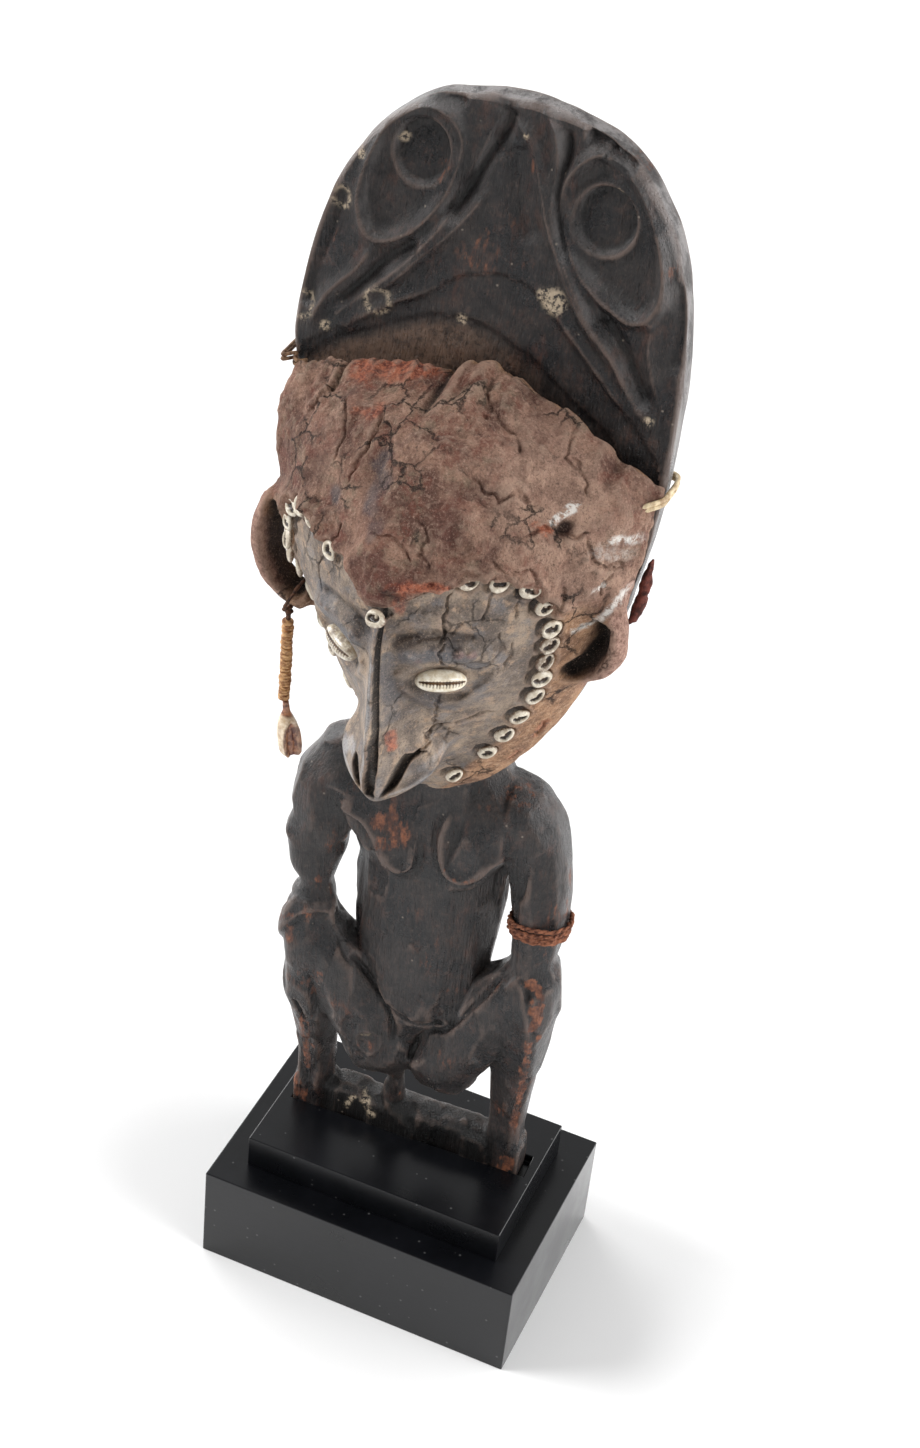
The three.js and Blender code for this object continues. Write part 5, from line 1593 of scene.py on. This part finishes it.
def head_paste():
    """Cracked earth paste: mauve-brown on the forehead, dark and smooth on the face, ochre on the jaw."""
    material, n, shader = new_material("head_paste", Specular_IOR_Level=0.35)
    place = n.place()
    panel, brow = n.layer("panel"), n.layer("brow")
    clouds = n.noise(place, 15, 6, 0.65)
    crumb = n.noise(place, 2.4, 6, 0.75)
    grit = n.noise(place, 0.9, 3, 0.7)
    pits = n.noise(place, 0.8, 4, 0.8)
    fibre = n.noise(n.place(1, 1, 0.3), 1.5, 5, 0.7)
    rough_paste = n.coats(
        n.mix(n.ramp(clouds, 0.38, 0.62), (93, 64, 54), (152, 118, 100)),
        (n.patches(place, 10, 5, 0.7, 0.48, 0.6), 0.7, (112, 66, 54)),
        (n.patches(place, 13, 5, 0.7, 0.52, 0.64), 0.5, (118, 106, 88)),
        (n.times(n.layer("dry"), n.ramp(clouds, 0.3, 0.6, 0.3, 0.75)), 1, (184, 152, 132)),
        (n.ramp(fibre, 0.5, 0.66), 0.45, (180, 148, 130)),
        (n.patches(place, 22, 4, 0.6, 0.52, 0.6), 0.4, (84, 58, 50)),
    )
    smooth_paste = n.coats(
        n.mix(n.ramp(clouds, 0.38, 0.66), (96, 85, 77), (158, 140, 122)),
        (n.patches(place, 8, 4, 0.6, 0.48, 0.66), 0.5, (112, 112, 116)),
        (n.patches(place, 6, 4, 0.7, 0.52, 0.68), 0.6, (176, 148, 122)),
        (n.ramp(crumb, 0.46, 0.34), 0.45, (62, 48, 42)),
    )
    jaw_paste = n.coats(
        n.mix(n.ramp(clouds, 0.35, 0.65), (116, 86, 68), (178, 138, 106)),
        (n.ramp(crumb, 0.5, 0.66), 0.6, (206, 172, 142)),
    )
    ear_paste = n.mix(n.ramp(crumb, 0.35, 0.7), (124, 90, 78), (190, 154, 138))
    red_paste = n.mix(n.ramp(crumb, 0.4, 0.6), (104, 48, 38), (178, 104, 76))
    patchy = n.patches(place, 12, 4, 0.6, 0.4, 0.62, 0.3, 1.0)
    cavity = n.times(n.times(n.ramp(crumb, 0.47, 0.3), patchy), n.ramp(panel, 0, 1, 0.85, 0.3))
    rubbed = n.group("wear", Edge=n.layer("edge"), Start=0.1, Full=0.5, Break=0.3)["Mask"]
    hairs = n.group("craze", Size=17, Width=0.012, Sway=3.5)["Line"]
    network = n.group("craze", Size=15, Width=0.03, Sway=0.55)["Line"]
    lines = n.times(network, n.ramp(panel, 0, 1, 0.85, 0.35))
    streaky = n.patches(n.place(0.4, 1, 1), 2.2, 5, 0.75, 0.38, 0.58)
    colour = n.coats(
        jaw_paste,
        (brow, 1, rough_paste),
        (panel, 1, smooth_paste),
        (n.layer("ear"), 1, ear_paste),
        (n.layer("grey"), 0.75, n.mix(grit, (52, 54, 60), (104, 105, 110))),
        (n.layer("red"), 0.9, red_paste),
        (n.layer("dark_red"), 0.8, n.mix(grit, (58, 24, 22), (104, 58, 52))),
        # Painted highlights in light grey.
        (n.times(n.layer("painted_highlight"), n.ramp(grit, 0.3, 0.6, 0.4, 0.9)), 1, (172, 169, 168)),
        (n.layer("shade"), 0.85, (46, 38, 36)),
        (n.layer("knob"), 1, n.mix(grit, (96, 74, 72), (140, 112, 108))),
        (n.ramp(n.layer("broad"), -0.3, -2.2), 0.85, (28, 21, 18)),
        # Painted shade in the nostrils, ear hollows and the forehead's hole, and the black paint of the nose's
        # channel.
        (n.layer("cut"), 0.9, (24, 21, 19)),
        (cavity, 1, (48, 34, 29)),
        (n.ramp(pits, 0.47, 0.36), 0.55, (46, 34, 30)),
        (n.ramp(pits, 0.55, 0.68), 0.4, (200, 172, 152)),
        (rubbed, 0.4, (168, 142, 124)),
        (n.times(hairs, brow), 0.7, (186, 156, 124)),
        (lines, 1, (20, 14, 12)),
        (n.math("MINIMUM", n.times(n.layer("white"), streaky), 0.85), 1, (226, 222, 216)),
    )
    n.put(shader, "Base Color", colour)
    n.put(shader, "Roughness", n.ramp(panel, 0, 1, 0.9, 0.52))
    height = n.total(n.times(fibre, 0.8), crumb, n.times(grit, 0.4))
    height = n.times(height, n.ramp(panel, 0, 1, 1.0, 0.35))
    raise_bump(n, shader, n.math("SUBTRACT", height, n.times(lines, 1.6)), 1.0)
    return material


def shell_finish(name, low, high, hollow_low, hollow_high, roughness, coat):
    """Polished shell, with a darker tone in its opening."""
    material, n, shader = new_material(name, Roughness=roughness, Coat_Weight=coat, Coat_Roughness=0.15)
    place = n.place()
    mottle = n.noise(place, 2.2, 5, 0.65)
    colour = n.coats(
        n.mix(n.ramp(mottle, 0.35, 0.65), low, high),
        # Dirt, and on the ring shells painted shade on their sides.
        (n.times(n.layer("dirt_and_shade"), n.patches(place, 1.4, 5, 0.7, 0.3, 0.6)), 1, (112, 88, 70)),
        (n.ramp(n.layer("hollow"), 0.1, 0.8), 1, n.mix(n.ramp(mottle, 0.4, 0.6), hollow_low, hollow_high)),
    )
    n.put(shader, "Base Color", colour)
    raise_bump(n, shader, n.noise(place, 0.9, 4, 0.6), 0.05)
    return material


def plain_finish(name, low, high, size, roughness, relief, stretch=(1, 1, 1)):
    """A finish of two mottled tones with fine relief."""
    material, n, shader = new_material(name, Roughness=roughness, Specular_IOR_Level=0.4)
    place = n.place(*stretch)
    n.put(shader, "Base Color", n.mix(n.patches(place, size, 5, 0.65, 0.35, 0.65), low, high))
    raise_bump(n, shader, n.noise(place, size / 4, 4, 0.6), relief)
    return material


def black_paint():
    """Thin black paint with a soft sheen and a few specks of dust."""
    material, n, shader = new_material(
        "black_paint", Specular_IOR_Level=0.16, Coat_Weight=1.0, Coat_Roughness=0.24, Coat_IOR=1.3)
    clouds = n.noise(n.place(), 40, 4, 0.6)
    dust = n.group("dust", Size=2.4, Amount=0.35)
    colour = n.coats(
        n.mix(n.ramp(clouds, 0.35, 0.65), (7, 8, 11), (13, 14, 18)),
        (dust["Specks"], 0.35, (120, 120, 120)),
    )
    n.put(shader, "Base Color", colour)
    n.put(shader, "Roughness", n.ramp(clouds, 0.3, 0.7, 0.26, 0.36))
    raise_bump(n, shader, n.noise(n.place(0.3, 1, 1), 1.5, 4), 0.03)
    return material


# Camera, floor and light, at the photograph's viewing angle

view_azimuth = math.radians(19.73)
view_elevation = math.radians(37.46)
view_roll = math.radians(6.31)
view_aim = (29.8, 237.48)       # how far the aim lies along the camera's right and up
view_distance = 1217.54


def add_camera():
    forward = Vector((
        -math.sin(view_azimuth) * math.cos(view_elevation),
        math.cos(view_azimuth) * math.cos(view_elevation),
        -math.sin(view_elevation),
    ))
    level = Vector((math.cos(view_azimuth), math.sin(view_azimuth), 0))
    upright = level.cross(forward)
    right = math.cos(view_roll) * level + math.sin(view_roll) * upright
    up = right.cross(forward)
    camera = bpy.data.objects.new("camera", bpy.data.cameras.new("camera"))
    camera.data.sensor_fit = "VERTICAL"
    camera.data.sensor_height = 36
    camera.data.lens = 64.737
    place = (view_aim[0] * right + view_aim[1] * up - view_distance * forward) * MM
    camera.matrix_world = Matrix.Translation(place) @ Matrix((right, up, -forward)).transposed().to_4x4()
    bpy.context.scene.collection.objects.link(camera)
    bpy.context.scene.camera = camera


def add_floor():
    bm = bmesh.new()
    bmesh.ops.create_grid(bm, x_segments=2, y_segments=2, size=4)
    floor = object_from(bm, "floor")
    finish = {"Roughness": 0.9, "Specular_IOR_Level": 0.1, "Base_Color": tone(250, 250, 250)}
    floor.data.materials.append(new_material("pale_floor", **finish)[0])


def add_light(name, toward, softness, strength):
    """A broad soft light from far away, given by the direction in which it stands."""
    lamp = bpy.data.lights.new(name, "SUN")
    lamp.angle = math.radians(softness)
    lamp.energy = strength
    light = bpy.data.objects.new(name, lamp)
    light.rotation_mode = "QUATERNION"
    light.rotation_quaternion = Vector(toward).to_track_quat("Z", "Y")
    bpy.context.scene.collection.objects.link(light)


# Lights: name, the direction in which each stands, its breadth in degrees and its strength
lights = [
    ("left_box", (-0.8, -0.25, 0.55), 28, 2.4),
    ("right_box", (0.87, -0.1, 0.5), 34, 1.6),
    ("rear_box", (-0.3, 0.8, 0.62), 50, 0.22),
    ("left_rim", (-0.8, 0.5, 0.22), 44, 2.3),
    ("right_rim", (0.85, 0.42, 0.22), 44, 2.0),
]


def add_lights():
    world = bpy.data.worlds.new("studio")
    bpy.context.scene.world = world
    world.use_nodes = True
    background = world.node_tree.nodes["Background"]
    background.inputs["Color"].default_value = (1, 1, 1, 1)
    background.inputs["Strength"].default_value = 0.34
    for light in lights:
        add_light(*light)
    bpy.context.scene.view_settings.view_transform = "Standard"


# Assembly


def plinth_block(name):
    bm = merged_copy(name)
    bmesh.ops.dissolve_limit(bm, angle_limit=0.01, verts=bm.verts, edges=bm.edges)
    sharp = [e for e in bm.edges if e.calc_face_angle(0) > 0.5]
    bmesh.ops.bevel(bm, geom=sharp, offset=0.5 * MM, segments=3, profile=0.5, affect="EDGES", material=-1)
    return object_from(bm, name + "_block")


def roughened_copy(name, piece_name, levels, relief, size, seed):
    """A node's form, rounded and given an uneven surface."""
    piece = object_from(merged_copy(name), piece_name)
    subdivision = piece.modifiers.new("rounding", "SUBSURF")
    subdivision.levels = levels
    subdivision.render_levels = levels
    piece = settle(piece)
    points = read_points(piece.data)
    uneven = relief * rumple(points, size, seed) + 0.5 * relief * rumple(points, size / 2.5, seed + 1)
    write_points(piece.data, points + read_normals(piece.data) * uneven[:, None])
    return piece


add_camera()
add_floor()
add_lights()

wood = patina_wood()
dress(crest_board(), wood, ["carved_figure"])
dress(carved_body(), wood, ["carved_figure"])
dress(paste_head(), head_paste(), ["modelled_head"])
paint = black_paint()
for block in ("plinth_base", "plinth_step"):
    dress(plinth_block(block), paint, [block], soft_shade=False)

# The second pair of tones is that of the shell's opening; in the cowrie's slit and between its teeth it is
# painted shade
ivory = shell_finish("ivory_shell", (196, 182, 160), (234, 226, 208), (34, 24, 18), (70, 52, 40), 0.4, 0.25)
cream = shell_finish("cowrie_shell", (214, 200, 172), (244, 238, 222), (60, 40, 22), (110, 80, 48), 0.3, 0.5)
brown_inside = shell_finish(
    "pendant_shell", (196, 168, 134), (236, 220, 196), (92, 42, 28), (170, 116, 82), 0.4, 0.3)
disc_finish = plain_finish("tan_disc", (138, 92, 56), (212, 168, 118), 2.4, 0.6, 0.1, (1, 1, 2))
band_fibre = plain_finish("red_fibre", (76, 42, 31), (152, 98, 72), 2, 0.9, 0.25)
thread_fibre = plain_finish("dark_fibre", (42, 26, 20), (98, 66, 48), 2, 0.9, 0.3)
old_cane = plain_finish("old_cane", (84, 60, 46), (150, 116, 86), 3, 0.6, 0.1, (1, 1, 0.3))
split_cane = plain_finish("split_cane", (158, 130, 96), (222, 204, 168), 3, 0.5, 0.1, (1, 1, 0.3))
bark = plain_finish("torn_bark", (58, 28, 24), (116, 62, 52), 3, 0.9, 0.4)

chance = np.random.default_rng(3)
for shell in shell_names:
    dress(ring_shell(shell, chance), ivory, [shell])
for eye in ("eye_cowrie_left", "eye_cowrie_right"):
    dress(cowrie(eye), cream, [eye])
dress(disc_string(), disc_finish, ["earring_discs"])
dress(pendant_shell(), brown_inside, ["earring_pendant"])
thread = roughened_copy("earring_thread", "thread_knot", 2, 0.25, 1.6, 61)
dress(thread, thread_fibre, ["earring_thread"])
dress(twisted_band(), band_fibre, ["armband"])
left_tie = cane_strands("cane_strands_left", -1, 384.5, 8, edge_gap=0.5, front_gap=2.6, thickness=1.5)
right_tie = cane_strands("cane_strands_right", 1, 373, 16, edge_gap=1.6, front_gap=11.5, thickness=1.9)
dress(left_tie, old_cane, ["cane_tie_left"])
dress(right_tie, split_cane, ["cane_tie_right"])
strip = roughened_copy("bark_strip", "torn_bark_strip", 3, 0.7, 4, 63)
dress(strip, bark, ["bark_strip"])
